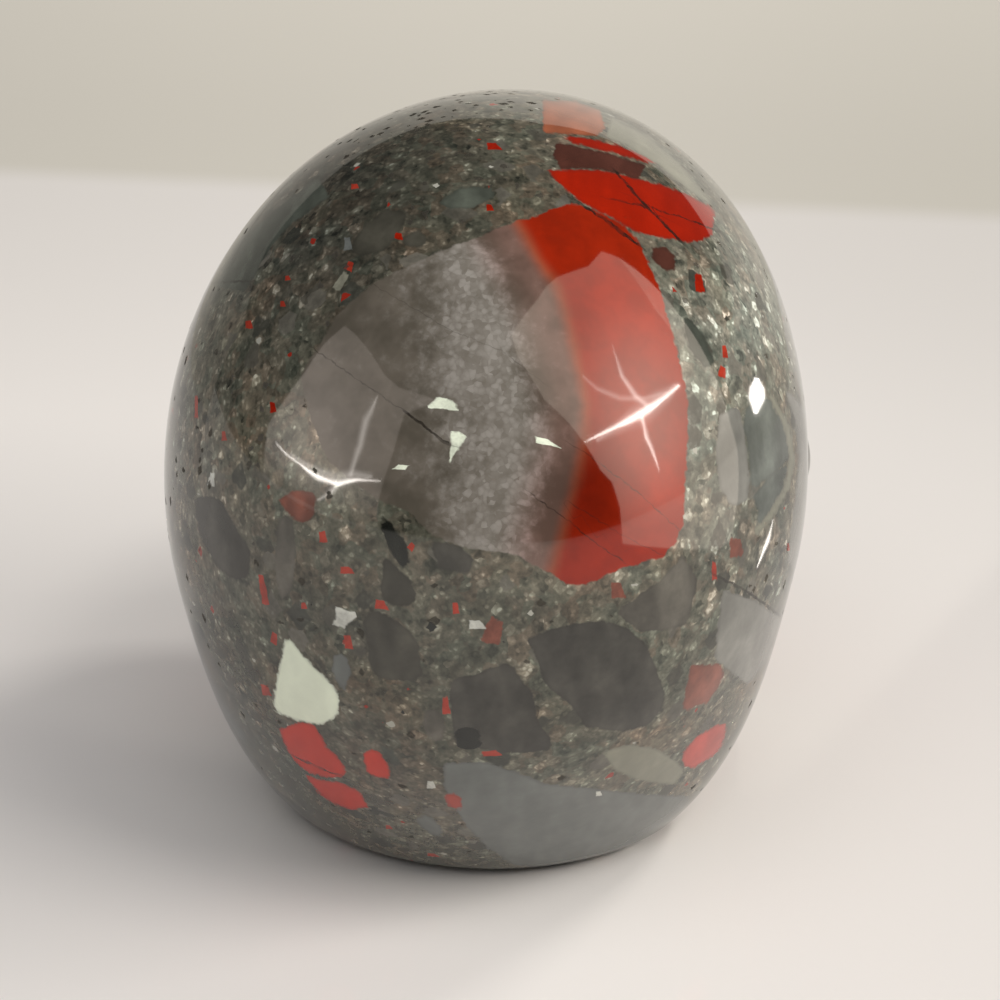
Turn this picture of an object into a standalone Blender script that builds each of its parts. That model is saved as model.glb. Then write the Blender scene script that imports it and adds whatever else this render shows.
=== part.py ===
"""A skull carved from one piece of polished stone, resting on its flat base.

The form is described as a carver would rough it out: rounded lumps are blended together,
and hollows are cut from them. A finely divided cube is then drawn in onto that form.
The face looks along -Y, the back of the cranium along +Y, and the base lies at z = 0.
"""

import math
from dataclasses import dataclass

import bmesh
import bpy
import numpy as np

MM = 0.001
SMALL = 1e-9

# How the cube is divided before it is drawn in onto the form
CUBE_DIVISIONS = 18
FACE_CUTS = 2
TOOTH_CUTS = 1

# The vertices are drawn in along rays that leave a thin oval core inside the skull
CORE_CENTRE = (0.0, 2.0, 26.0)
CORE_RADII = (8.0, 0.0, 16.0)
RAY_START = 60.0
RAY_STEPS = 160
RAY_STRIDE = 0.8
RAY_CLOSE = 0.0002

# The flat base and the rounding of its edge, in millimetres
BASE_ROUNDING = 1.6
BASE_SNAP = 0.02

# The dental arch and its teeth, in millimetres
ARCH_CENTRE_Y = -16.5
ARCH_HALF_WIDTH = 11.6
ARCH_DEPTH = 15.2
ARCH_MEAN_RADIUS = 14.0
ARCH_NARROWING = 1.2
BITE_HEIGHT = 11.2
BITE_CURVE = 0.012
TOOTH_WIDTHS = (2.75, 2.3, 2.6, 2.5, 2.5, 3.0)
TOOTH_RELIEF = 0.35
UPPER_CROWN = (2.3, 2.6)
LOWER_CROWN = (-2.0, 2.2)
ROOT_RIDGES = ((3.2, 5.0, 0.25), (-3.2, 4.0, 0.15))
GAP_DEPTH = 0.7
GAP_WIDTH = 0.5
BITE_DEPTH = 1.0
BITE_WIDTH = 0.5
TOOTH_ROW_HALF = 15.2
TOOTH_ROW_FADE = 0.5

# The regions that are divided more finely: half width, back, low and high limits
FACE_REGION = (18.5, -16.0, -1.0, 42.0)
TOOTH_REGION = (11.4, -20.0, 7.0, 16.2)

# The stone's own mean colour and its polish
STONE_COLOUR = (0.16, 0.15, 0.13, 1.0)
STONE_ROUGHNESS = 0.12


@dataclass(frozen=True)
class Lump:
    """A solid ellipsoid."""

    centre: tuple
    radii: tuple

    def distance(self, points):
        scaled = (points - np.array(self.centre)) / np.array(self.radii)
        return ellipsoid_distance(scaled, np.array(self.radii))


@dataclass(frozen=True)
class Bar:
    """A round bar between two points, thicker at one end."""

    start: tuple
    end: tuple
    start_radius: float
    end_radius: float

    def distance(self, points):
        start = np.array(self.start)
        run = np.array(self.end) - start
        share = np.clip((points - start) @ run / (run @ run), 0, 1)
        radius = self.start_radius + share * (self.end_radius - self.start_radius)
        return np.linalg.norm(points - start - share[:, None] * run, axis=1) - radius


@dataclass(frozen=True)
class Column:
    """An upright oval column with rounded rims."""

    centre_y: float
    half_width: float
    depth: float
    low: float
    high: float
    rounding: float

    def distance(self, points):
        radii = np.array([self.half_width, self.depth])
        scaled = (points[:, :2] - np.array([0.0, self.centre_y])) / radii
        side = ellipsoid_distance(scaled, radii)
        ends = np.maximum(self.low - points[:, 2], points[:, 2] - self.high)
        return carve(side, -ends, self.rounding)


@dataclass(frozen=True)
class Stroke:
    """One step of the carver: a shape added or cut away, with the softness of its blend."""

    shape: object
    soft: float
    cuts: bool = False


def ellipsoid_distance(scaled, radii):
    """Approximate distance to an ellipsoid from points given in units of its radii."""
    near = np.linalg.norm(scaled, axis=1)
    slope = np.linalg.norm(scaled / radii, axis=1)
    return near * (near - 1) / np.maximum(slope, SMALL)


def blend(first, second, soft):
    """Join two solids with a fillet of the given softness."""
    share = np.clip(0.5 + 0.5 * (second - first) / soft, 0, 1)
    return second * (1 - share) + first * share - soft * share * (1 - share)


def carve(solid, tool, soft):
    """Cut a tool's shape out of a solid, leaving a rounded rim."""
    return -blend(-solid, tool, soft)


# The cranium, hand shaped and so a little off the middle line
BACK_OF_CRANIUM = Lump((1.1, 8.8, 27.3), (24.3, 28.0, 28.3))
CRANIUM = (
    Stroke(Lump((-1.3, -8.6, 30.8), (18.4, 21.2, 20.2)), 9.0),
    Stroke(Lump((0.7, 10.8, 10.1), (18.0, 11.9, 15.4)), 9.0),
)

# The face, given for one side and mirrored to the other
TEMPLE = Stroke(Lump((27.0, -15.0, 33.0), (7.2, 9.5, 9.5)), 5.0, cuts=True)
BROW = (
    Stroke(Bar((2.4, -26.2, 36.8), (9.4, -25.7, 38.6), 2.3, 2.4), 6.0),
    Stroke(Bar((9.4, -25.7, 38.6), (16.0, -21.2, 36.4), 2.4, 2.2), 6.0),
    Stroke(Bar((16.0, -21.2, 36.0), (16.6, -20.2, 27.0), 2.2, 2.8), 4.0),
)
MIDDLE_FACE = (
    Stroke(Lump((0.0, -2.0, 14.0), (14.5, 22.0, 17.0)), 6.0),
    Stroke(Lump((0.0, -18.5, 21.5), (12.2, 12.0, 13.0)), 4.0),
    Stroke(Column(ARCH_CENTRE_Y, ARCH_HALF_WIDTH, ARCH_DEPTH, 10.5, 19.0, 3.0), 3.0),
)
CHEEK = (
    Stroke(Lump((14.0, -21.6, 23.8), (5.6, 4.6, 4.8)), 3.5),
    Stroke(Bar((16.4, -19.5, 24.0), (19.6, -7.0, 25.2), 3.0, 2.7), 3.0),
    Stroke(Bar((19.6, -7.0, 25.2), (20.8, 1.0, 26.4), 2.7, 2.4), 3.0),
)
JAW = (
    Stroke(Column(-14.5, 12.8, 16.6, -3.0, 10.5, 3.0), 2.0),
    Stroke(Lump((0.0, -28.8, 3.6), (6.6, 3.8, 4.4)), 3.0),
    Stroke(Lump((16.6, -8.0, 12.5), (3.8, 6.6, 13.5)), 3.0),
    Stroke(Bar((0.0, -27.0, 3.2), (15.8, -10.5, 4.6), 3.4, 3.8), 2.5),
)
CHEEK_HOLLOW = Stroke(Lump((20.6, -20.5, 14.2), (8.2, 6.6, 5.8)), 2.5, cuts=True)
NASAL_BONE = Stroke(Bar((0.0, -25.6, 35.2), (0.0, -30.2, 28.8), 2.4, 2.0), 3.0)
EYE_SOCKET = (
    Stroke(Bar((10.2, -35.0, 32.6), (7.4, -17.5, 30.0), 8.1, 2.6), 1.4, cuts=True),
    Stroke(Bar((13.2, -35.0, 31.6), (8.2, -17.5, 29.6), 7.9, 2.4), 1.4, cuts=True),
)
NOSE_OPENING = (
    Stroke(Lump((0.0, -31.5, 25.2), (2.7, 6.5, 4.6)), 0.9, cuts=True),
    Stroke(Lump((2.1, -31.5, 21.9), (2.5, 6.5, 2.8)), 0.9, cuts=True),
)
FACE = (
    (TEMPLE,) + BROW + MIDDLE_FACE + CHEEK + JAW + (CHEEK_HOLLOW, NASAL_BONE) + EYE_SOCKET + NOSE_OPENING
)


def apply_strokes(distance, points, strokes):
    """Add or cut each stroke's shape in turn."""
    for stroke in strokes:
        near = stroke.shape.distance(points)
        if stroke.cuts:
            distance = carve(distance, near, stroke.soft)
        else:
            distance = blend(distance, near, stroke.soft)
    return distance


def band(values, middle, half_width):
    """One inside a band and nought outside it, with soft edges."""
    return np.exp(-(((values - middle) / half_width) ** 4))


def groove(values, width):
    """One along the line where the values are nought, falling off over the width."""
    return np.exp(-((values / width) ** 2))


def tooth_relief(points):
    """How far the surface moves in at each point to show the teeth, negative where they stand out."""
    x, y, z = points.T
    angle = np.arctan2(x / ARCH_HALF_WIDTH, -(y - ARCH_CENTRE_Y) / ARCH_DEPTH)
    along = angle * (ARCH_MEAN_RADIUS - ARCH_NARROWING * np.abs(np.sin(angle)))
    above_bite = z - BITE_HEIGHT - BITE_CURVE * along**2
    crowns = np.maximum(band(above_bite, *UPPER_CROWN), band(above_bite, *LOWER_CROWN))
    gaps = groove(along, GAP_WIDTH)
    for edge in np.cumsum(TOOTH_WIDTHS):
        gaps = np.maximum(gaps, groove(along - edge, GAP_WIDTH))
    roots = sum(share * band(above_bite, middle, half) for middle, half, share in ROOT_RIDGES)
    grooves = np.maximum(GAP_DEPTH * gaps * crowns, BITE_DEPTH * groove(above_bite, BITE_WIDTH))
    in_row = 1 / (1 + np.exp((np.abs(along) - TOOTH_ROW_HALF) / TOOTH_ROW_FADE))
    return (grooves + roots * gaps - TOOTH_RELIEF * crowns) * in_row


def skull_distance(points):
    """Distance from points to the carved skull's surface, negative inside it."""
    distance = BACK_OF_CRANIUM.distance(points)
    distance = apply_strokes(distance, points, CRANIUM)
    mirrored = points.copy()
    mirrored[:, 0] = np.abs(mirrored[:, 0])
    distance = apply_strokes(distance, mirrored, FACE)
    distance = distance + tooth_relief(mirrored)
    return carve(distance, points[:, 2], BASE_ROUNDING)


def draw_in(directions):
    """Points where rays from outside the skull first meet its surface."""
    cores = np.array(CORE_CENTRE) + directions * np.array(CORE_RADII)
    reach = np.full(len(directions), RAY_START)
    moving = np.arange(len(directions))
    for _ in range(RAY_STEPS):
        gap = skull_distance(cores[moving] + directions[moving] * reach[moving, None])
        reach[moving] -= gap * RAY_STRIDE
        moving = moving[np.abs(gap) > RAY_CLOSE]
        if not len(moving):
            break
    return cores + directions * reach[:, None]


def directions_from_cube(mesh):
    """Unit directions from the divided cube's vertices, evenly spread over each face."""
    corners = np.array([vertex.co[:] for vertex in mesh.verts])
    spread = np.tan(np.clip(corners, -1, 1) * math.pi / 4)
    return spread / np.linalg.norm(spread, axis=1)[:, None]


def vertex_places(mesh):
    """Where the divided cube's vertices lie on the skull, in millimetres."""
    places = draw_in(directions_from_cube(mesh))
    places[:, 2] = np.where(places[:, 2] < BASE_SNAP, 0.0, places[:, 2])
    return places


def divide_region(mesh, region, cuts):
    """Divide the cube more finely where its faces come to lie in a region of the skull's front."""
    half_width, back, low, high = region
    places = vertex_places(mesh)
    mesh.verts.index_update()
    edges = set()
    for face in mesh.faces:
        x, y, z = np.mean([places[vertex.index] for vertex in face.verts], axis=0)
        if abs(x) < half_width and y < back and low < z < high:
            edges.update(face.edges)
    bmesh.ops.subdivide_edges(mesh, edges=list(edges), cuts=cuts, use_grid_fill=True)


def build_skull(name):
    """The skull as one closed mesh object, centred over the origin."""
    shaping = bmesh.new()
    bmesh.ops.create_cube(shaping, size=2.0)
    bmesh.ops.subdivide_edges(
        shaping, edges=shaping.edges[:], cuts=CUBE_DIVISIONS - 1, use_grid_fill=True
    )
    divide_region(shaping, FACE_REGION, FACE_CUTS)
    divide_region(shaping, TOOTH_REGION, TOOTH_CUTS)
    places = vertex_places(shaping)
    middle = (places.min(axis=0) + places.max(axis=0)) / 2
    middle[2] = 0.0
    for vertex, place in zip(shaping.verts, (places - middle) * MM):
        vertex.co = place
    bmesh.ops.triangulate(shaping, faces=shaping.faces[:])
    bmesh.ops.recalc_face_normals(shaping, faces=shaping.faces[:])
    mesh = bpy.data.meshes.new(name)
    shaping.to_mesh(mesh)
    shaping.free()
    mesh.shade_smooth()
    return bpy.data.objects.new(name, mesh)


def stone_material(name):
    """Polished grey stone."""
    material = bpy.data.materials.new(name)
    material.use_nodes = True
    surface = material.node_tree.nodes["Principled BSDF"]
    surface.inputs["Base Color"].default_value = STONE_COLOUR
    surface.inputs["Roughness"].default_value = STONE_ROUGHNESS
    surface.inputs["Metallic"].default_value = 0.0
    return material


def main():
    """Clear the scene and build the carving."""
    for existing in list(bpy.data.objects):
        bpy.data.objects.remove(existing)
    carving = bpy.data.collections.new("stone_skull_carving")
    bpy.context.scene.collection.children.link(carving)
    skull = build_skull("skull")
    skull.data.materials.append(stone_material("polished_stone"))
    carving.objects.link(skull)


main()
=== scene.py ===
"""A skull carved from one piece of polished brecciated bloodstone, seen from behind its cranium.

The stone's surface is shaped again at a fine resolution from the rules of the CAD solid, and it
carries its pattern as attributes: how far each point lies from the nearest fragment, chip or
crack. The shader turns these into sharp edges and fills in grain, haze, pits and polish.
"""

import logging
import math
from collections.abc import Callable
from dataclasses import dataclass
from enum import Enum

import bmesh
import bpy
import numpy as np
from mathutils import Matrix, Vector
from mathutils.bvhtree import BVHTree


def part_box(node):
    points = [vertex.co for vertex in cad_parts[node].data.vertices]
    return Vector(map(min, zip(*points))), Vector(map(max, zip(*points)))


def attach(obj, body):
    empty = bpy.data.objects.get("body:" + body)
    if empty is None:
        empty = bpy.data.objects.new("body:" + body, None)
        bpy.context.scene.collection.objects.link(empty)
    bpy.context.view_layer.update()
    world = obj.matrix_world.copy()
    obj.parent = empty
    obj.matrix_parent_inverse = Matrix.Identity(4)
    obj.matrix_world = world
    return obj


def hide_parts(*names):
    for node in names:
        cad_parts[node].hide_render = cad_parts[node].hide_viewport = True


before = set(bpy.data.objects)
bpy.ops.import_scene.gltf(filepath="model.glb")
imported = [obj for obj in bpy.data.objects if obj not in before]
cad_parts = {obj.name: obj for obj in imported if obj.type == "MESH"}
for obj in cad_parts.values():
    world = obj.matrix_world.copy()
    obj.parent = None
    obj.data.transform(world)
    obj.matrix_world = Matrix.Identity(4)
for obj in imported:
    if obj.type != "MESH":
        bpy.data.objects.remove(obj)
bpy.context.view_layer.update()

LOG = logging.getLogger("skull")

NODE = "skull"
BODY = "root"
MM = 0.001
SMALL = 1e-9
IMAGE_SIZE = 1000
SENSOR_WIDTH = 36.0

Pixels = tuple[tuple[float, float], ...]
Colour = tuple[float, float, float]
# The two ends of a range
Span = tuple[float, float]
# A smooth change: the values at which it starts and ends, and what it gives there
Ramp = tuple[float, float, float, float]
# A row of colours with the value at which each is reached
Stops = tuple[tuple[float, Colour], ...]
WHITE: Colour = (1.0, 1.0, 1.0)


class Rock(Enum):
    """The colours of the stone's fragments, as linear reflectance."""

    AGATE = (0.150, 0.129, 0.102)
    AGATE_SHADE = (0.098, 0.085, 0.065)
    SUGAR_QUARTZ = (0.330, 0.306, 0.272)
    SUGAR_SHADE = (0.196, 0.176, 0.148)
    JASPER = (0.262, 0.014, 0.002)
    RUSTY_AGATE = (0.270, 0.060, 0.028)
    BRIGHT_JASPER = (0.312, 0.011, 0.001)
    VIVID_JASPER = (0.540, 0.022, 0.005)
    COPPER_JASPER = (0.370, 0.036, 0.018)
    PINK_JASPER = (0.480, 0.055, 0.040)
    DUSKY_JASPER = (0.195, 0.060, 0.038)
    ORANGE_QUARTZ = (0.310, 0.095, 0.045)
    LIVER_BROWN = (0.072, 0.024, 0.016)
    WARM_BROWN = (0.135, 0.100, 0.070)
    SMOKY_GREY = (0.050, 0.047, 0.039)
    DARK_SMOKE = (0.050, 0.047, 0.036)
    NEAR_BLACK = (0.013, 0.014, 0.011)
    ASH_GREY = (0.105, 0.096, 0.078)
    SLATE_GREEN = (0.070, 0.078, 0.062)
    TEAL_GREY = (0.108, 0.120, 0.104)
    BLUE_GREY = (0.140, 0.149, 0.139)
    PALE_GREY = (0.212, 0.208, 0.184)
    PALE_GREEN = (0.230, 0.226, 0.172)
    MINT_WHITE = (0.840, 0.900, 0.720)
    BONE_WHITE = (0.560, 0.560, 0.500)


# How strongly sweeps and clouds run through a rock; those not named here show them in full
EVENNESS = {
    Rock.BRIGHT_JASPER: 0.25,
    Rock.VIVID_JASPER: 0.15,
    Rock.COPPER_JASPER: 0.3,
    Rock.LIVER_BROWN: 0.4,
    Rock.PINK_JASPER: 0.4,
    Rock.ORANGE_QUARTZ: 0.4,
    Rock.BLUE_GREY: 0.3,
    Rock.PALE_GREEN: 0.3,
    Rock.PALE_GREY: 0.5,
    Rock.MINT_WHITE: 0.15,
}


# The carved form, in millimetres


@dataclass(frozen=True)
class Lump:
    """A solid ellipsoid."""

    centre: tuple[float, float, float]
    radii: tuple[float, float, float]

    def distance(self, points: np.ndarray) -> np.ndarray:
        """Approximate distance of each point from the surface, negative inside."""
        scaled = (points - np.array(self.centre)) / np.array(self.radii)
        return ellipsoid_distance(scaled, np.array(self.radii))


@dataclass(frozen=True)
class Bar:
    """A round bar between two points, thicker at one end."""

    start: tuple[float, float, float]
    end: tuple[float, float, float]
    start_radius: float
    end_radius: float

    def distance(self, points: np.ndarray) -> np.ndarray:
        """Distance of each point from the surface, negative inside."""
        start = np.array(self.start)
        run = np.array(self.end) - start
        share = np.clip((points - start) @ run / (run @ run), 0, 1)
        radius = self.start_radius + share * (self.end_radius - self.start_radius)
        return np.linalg.norm(points - start - share[:, None] * run, axis=1) - radius


@dataclass(frozen=True)
class Column:
    """An upright oval column with rounded rims."""

    centre_y: float
    half_width: float
    depth: float
    low: float
    high: float
    rounding: float

    def distance(self, points: np.ndarray) -> np.ndarray:
        """Approximate distance of each point from the surface, negative inside."""
        radii = np.array([self.half_width, self.depth])
        scaled = (points[:, :2] - np.array([0.0, self.centre_y])) / radii
        side = ellipsoid_distance(scaled, radii)
        ends = np.maximum(self.low - points[:, 2], points[:, 2] - self.high)
        return carve(side, -ends, self.rounding)


@dataclass(frozen=True)
class Stroke:
    """One step of the carver: a shape added or cut away, with the softness of its blend."""

    shape: Lump | Bar | Column
    soft: float
    cuts: bool = False


def ellipsoid_distance(scaled: np.ndarray, radii: np.ndarray) -> np.ndarray:
    """Approximate distance to an ellipsoid.

    Args:
        scaled: Points in units of the radii, from the ellipsoid's centre.
        radii: The ellipsoid's radii.

    Returns:
        One distance for each point, negative inside.
    """
    near = np.linalg.norm(scaled, axis=1)
    slope = np.linalg.norm(scaled / radii, axis=1)
    return near * (near - 1) / np.maximum(slope, SMALL)


def blend(first: np.ndarray, second: np.ndarray, soft: float) -> np.ndarray:
    """Join two solids, given by distances, with a fillet of the given softness."""
    share = np.clip(0.5 + 0.5 * (second - first) / soft, 0, 1)
    return second * (1 - share) + first * share - soft * share * (1 - share)


def carve(solid: np.ndarray, tool: np.ndarray, soft: float) -> np.ndarray:
    """Cut a tool's shape out of a solid, leaving a rounded rim."""
    return -blend(-solid, tool, soft)


def band(values: np.ndarray, middle: float, half_width: float) -> np.ndarray:
    """One inside a band and nought outside it, with soft edges."""
    return np.exp(-(((values - middle) / half_width) ** 4))


def groove(values: np.ndarray, width: float) -> np.ndarray:
    """One where the values are nought, falling off over the width."""
    return np.exp(-((values / width) ** 2))


@dataclass(frozen=True)
class Teeth:
    """Both rows of teeth as a relief on the dental arch."""

    centre_y: float = -16.5
    half_width: float = 11.6
    depth: float = 15.2
    mean_radius: float = 14.0
    narrowing: float = 1.2
    bite_height: float = 11.2
    bite_curve: float = 0.012
    widths: tuple[float, ...] = (2.75, 2.3, 2.6, 2.5, 2.5, 3.0)
    relief: float = 0.35
    upper_crown: tuple[float, float] = (2.3, 2.6)
    lower_crown: tuple[float, float] = (-2.0, 2.2)
    root_ridges: tuple[tuple[float, float, float], ...] = ((3.2, 5.0, 0.25), (-3.2, 4.0, 0.15))
    gap_depth: float = 0.7
    gap_width: float = 0.5
    bite_depth: float = 1.0
    bite_width: float = 0.5
    row_half: float = 15.2
    row_fade: float = 0.5

    def inset(self, points: np.ndarray) -> np.ndarray:
        """How far the surface moves in at each point, negative where a crown stands out."""
        x, y, z = points.T
        angle = np.arctan2(x / self.half_width, -(y - self.centre_y) / self.depth)
        along = angle * (self.mean_radius - self.narrowing * np.abs(np.sin(angle)))
        above = z - self.bite_height - self.bite_curve * along**2
        crowns = np.maximum(band(above, *self.upper_crown), band(above, *self.lower_crown))
        gaps = groove(along, self.gap_width)
        for edge in np.cumsum(self.widths):
            gaps = np.maximum(gaps, groove(along - edge, self.gap_width))
        roots = sum(share * band(above, middle, half) for middle, half, share in self.root_ridges)
        bite = self.bite_depth * groove(above, self.bite_width)
        grooves = np.maximum(self.gap_depth * gaps * crowns, bite)
        in_row = 1 / (1 + np.exp((np.abs(along) - self.row_half) / self.row_fade))
        return (grooves + roots * gaps - self.relief * crowns) * in_row


BACK_OF_CRANIUM = Lump((1.1, 8.8, 27.3), (24.3, 28.0, 28.3))
CRANIUM = (
    Stroke(Lump((-1.3, -8.6, 30.8), (18.4, 21.2, 20.2)), 9.0),
    Stroke(Lump((0.7, 10.8, 10.1), (18.0, 11.9, 15.4)), 9.0),
)
TEMPLE = (Stroke(Lump((27.0, -15.0, 33.0), (7.2, 9.5, 9.5)), 5.0, cuts=True),)
BROW = (
    Stroke(Bar((2.4, -26.2, 36.8), (9.4, -25.7, 38.6), 2.3, 2.4), 6.0),
    Stroke(Bar((9.4, -25.7, 38.6), (16.0, -21.2, 36.4), 2.4, 2.2), 6.0),
    Stroke(Bar((16.0, -21.2, 36.0), (16.6, -20.2, 27.0), 2.2, 2.8), 4.0),
)
MIDDLE_FACE = (
    Stroke(Lump((0.0, -2.0, 14.0), (14.5, 22.0, 17.0)), 6.0),
    Stroke(Lump((0.0, -18.5, 21.5), (12.2, 12.0, 13.0)), 4.0),
    Stroke(Column(-16.5, 11.6, 15.2, 10.5, 19.0, 3.0), 3.0),
)
CHEEK = (
    Stroke(Lump((14.0, -21.6, 23.8), (5.6, 4.6, 4.8)), 3.5),
    Stroke(Bar((16.4, -19.5, 24.0), (19.6, -7.0, 25.2), 3.0, 2.7), 3.0),
    Stroke(Bar((19.6, -7.0, 25.2), (20.8, 1.0, 26.4), 2.7, 2.4), 3.0),
)
JAW = (
    Stroke(Column(-14.5, 12.8, 16.6, -3.0, 10.5, 3.0), 2.0),
    Stroke(Lump((0.0, -28.8, 3.6), (6.6, 3.8, 4.4)), 3.0),
    Stroke(Lump((16.6, -8.0, 12.5), (3.8, 6.6, 13.5)), 3.0),
    Stroke(Bar((0.0, -27.0, 3.2), (15.8, -10.5, 4.6), 3.4, 3.8), 2.5),
)
CHEEK_HOLLOW = (Stroke(Lump((20.6, -20.5, 14.2), (8.2, 6.6, 5.8)), 2.5, cuts=True),)
NASAL_BONE = (Stroke(Bar((0.0, -25.6, 35.2), (0.0, -30.2, 28.8), 2.4, 2.0), 3.0),)
EYE_SOCKET = (
    Stroke(Bar((10.2, -35.0, 32.6), (7.4, -17.5, 30.0), 8.1, 2.6), 1.4, cuts=True),
    Stroke(Bar((13.2, -35.0, 31.6), (8.2, -17.5, 29.6), 7.9, 2.4), 1.4, cuts=True),
)
NOSE_OPENING = (
    Stroke(Lump((0.0, -31.5, 25.2), (2.7, 6.5, 4.6)), 0.9, cuts=True),
    Stroke(Lump((2.1, -31.5, 21.9), (2.5, 6.5, 2.8)), 0.9, cuts=True),
)
FACE = (
    TEMPLE + BROW + MIDDLE_FACE + CHEEK + JAW + CHEEK_HOLLOW + NASAL_BONE + EYE_SOCKET + NOSE_OPENING
)


@dataclass(frozen=True)
class SkullForm:
    """The whole carved form: its distance field, and how a ball of directions is drawn in onto it."""

    base_rounding: float = 1.6
    base_snap: float = 0.02
    core_centre: tuple[float, float, float] = (0.0, 2.0, 26.0)
    core_radii: tuple[float, float, float] = (8.0, 0.0, 16.0)
    ray_start: float = 60.0
    ray_steps: int = 160
    ray_stride: float = 0.8
    ray_close: float = 0.0002
    teeth: Teeth = Teeth()

    def apply(self, distance: np.ndarray, points: np.ndarray, strokes: tuple[Stroke, ...]) -> np.ndarray:
        """Add or cut each stroke's shape in turn.

        Args:
            distance: Distances from the form so far.
            points: The points that they belong to.
            strokes: What the carver does next.

        Returns:
            The distances after these strokes.
        """
        for stroke in strokes:
            near = stroke.shape.distance(points)
            if stroke.cuts:
                distance = carve(distance, near, stroke.soft)
            else:
                distance = blend(distance, near, stroke.soft)
        return distance

    def distance(self, points: np.ndarray) -> np.ndarray:
        """Distance of each point from the skull's surface, negative inside it."""
        distance = BACK_OF_CRANIUM.distance(points)
        distance = self.apply(distance, points, CRANIUM)
        mirrored = points.copy()
        mirrored[:, 0] = np.abs(mirrored[:, 0])
        distance = self.apply(distance, mirrored, FACE)
        distance = distance + self.teeth.inset(mirrored)
        return carve(distance, points[:, 2], self.base_rounding)

    def draw_in(self, directions: np.ndarray) -> np.ndarray:
        """Points where rays from outside the skull first meet its surface.

        Args:
            directions: Unit directions, one for each ray.

        Returns:
            One point on the surface for each direction, in millimetres.
        """
        cores = np.array(self.core_centre) + directions * np.array(self.core_radii)
        reach = np.full(len(directions), self.ray_start)
        moving = np.arange(len(directions))
        for _ in range(self.ray_steps):
            gap = self.distance(cores[moving] + directions[moving] * reach[moving, None])
            reach[moving] -= gap * self.ray_stride
            moving = moving[np.abs(gap) > self.ray_close]
            if not len(moving):
                break
        places = cores + directions * reach[:, None]
        places[:, 2] = np.where(places[:, 2] < self.base_snap, 0.0, places[:, 2])
        return places


# The photograph's viewpoint


@dataclass(frozen=True)
class PhotoView:
    """The camera of the photograph, behind the cranium and a little above it."""

    target: tuple[float, float, float] = (-0.0008, -0.0020, 0.0280)
    distance: float = 0.190
    azimuth: float = 184.0
    elevation: float = 20.0
    turn: float = 0.226
    tilt: float = 1.847
    roll: float = 1.543
    focal_pixels: float = 2388.0
    clip: Span = (0.01, 20.0)

    def outward(self, azimuth: float, elevation: float) -> np.ndarray:
        """The unit direction from the target towards a viewer at these angles, in degrees."""
        around = math.radians(azimuth)
        up = math.radians(elevation)
        level = math.cos(up)
        return np.array([math.sin(around) * level, -math.cos(around) * level, math.sin(up)])

    def eye(self) -> np.ndarray:
        """Where the camera stands."""
        return np.array(self.target) + self.outward(self.azimuth, self.elevation) * self.distance

    def axes(self) -> tuple[np.ndarray, np.ndarray, np.ndarray]:
        """The camera's right, up and forward directions."""
        forward = -self.outward(self.azimuth + self.turn, self.elevation + self.tilt)
        level_right = np.cross(forward, (0.0, 0.0, 1.0))
        level_right /= np.linalg.norm(level_right)
        level_up = np.cross(level_right, forward)
        lean = math.radians(self.roll)
        right = level_right * math.cos(lean) + level_up * math.sin(lean)
        up = level_up * math.cos(lean) - level_right * math.sin(lean)
        return right, up, forward

    def pixels(self, points: np.ndarray) -> np.ndarray:
        """Where points in space appear in the photograph."""
        right, up, forward = self.axes()
        seen = points - self.eye()
        depth = seen @ forward
        across = IMAGE_SIZE / 2 + self.focal_pixels * (seen @ right) / depth
        down = IMAGE_SIZE / 2 - self.focal_pixels * (seen @ up) / depth
        return np.stack([across, down], axis=1)

    def pixel_size(self, points: np.ndarray) -> np.ndarray:
        """How many metres one pixel covers at each point's depth."""
        return (points - self.eye()) @ self.axes()[2] / self.focal_pixels

    def ray(self, pixel: tuple[float, float]) -> np.ndarray:
        """The unit direction from the camera through a pixel."""
        right, up, forward = self.axes()
        across = (pixel[0] - IMAGE_SIZE / 2) / self.focal_pixels
        down = (pixel[1] - IMAGE_SIZE / 2) / self.focal_pixels
        direction = forward + right * across - up * down
        return direction / np.linalg.norm(direction)

    def build(self) -> bpy.types.Object:
        """Make the camera and use it for the scene."""
        right, up, forward = self.axes()
        camera = bpy.data.objects.new("photo_camera", bpy.data.cameras.new("photo_camera"))
        camera.data.sensor_width = SENSOR_WIDTH
        camera.data.lens = self.focal_pixels / IMAGE_SIZE * SENSOR_WIDTH
        camera.data.clip_start, camera.data.clip_end = self.clip
        turned = Matrix((right, up, -forward)).transposed().to_4x4()
        turned.translation = Vector(self.eye())
        camera.matrix_world = turned
        bpy.context.collection.objects.link(camera)
        bpy.context.scene.camera = camera
        return camera


# The stone's pattern, as given pixels of the photograph


@dataclass(frozen=True)
class Fragment:
    """An angular piece of rock in the breccia, by its outline in the photograph."""

    rock: Rock
    outline: Pixels


@dataclass(frozen=True)
class Chip:
    """A small four-sided chip: its centre, width and height in pixels, its turn, taper and slant."""

    rock: Rock
    centre: tuple[float, float]
    size: tuple[float, float]
    turn: float = 0.0
    taper: float = 0.35
    slant: float = 0.2


@dataclass(frozen=True)
class Crack:
    """A thin line: its route in pixels and how dark it is."""

    route: Pixels
    strength: float


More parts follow.
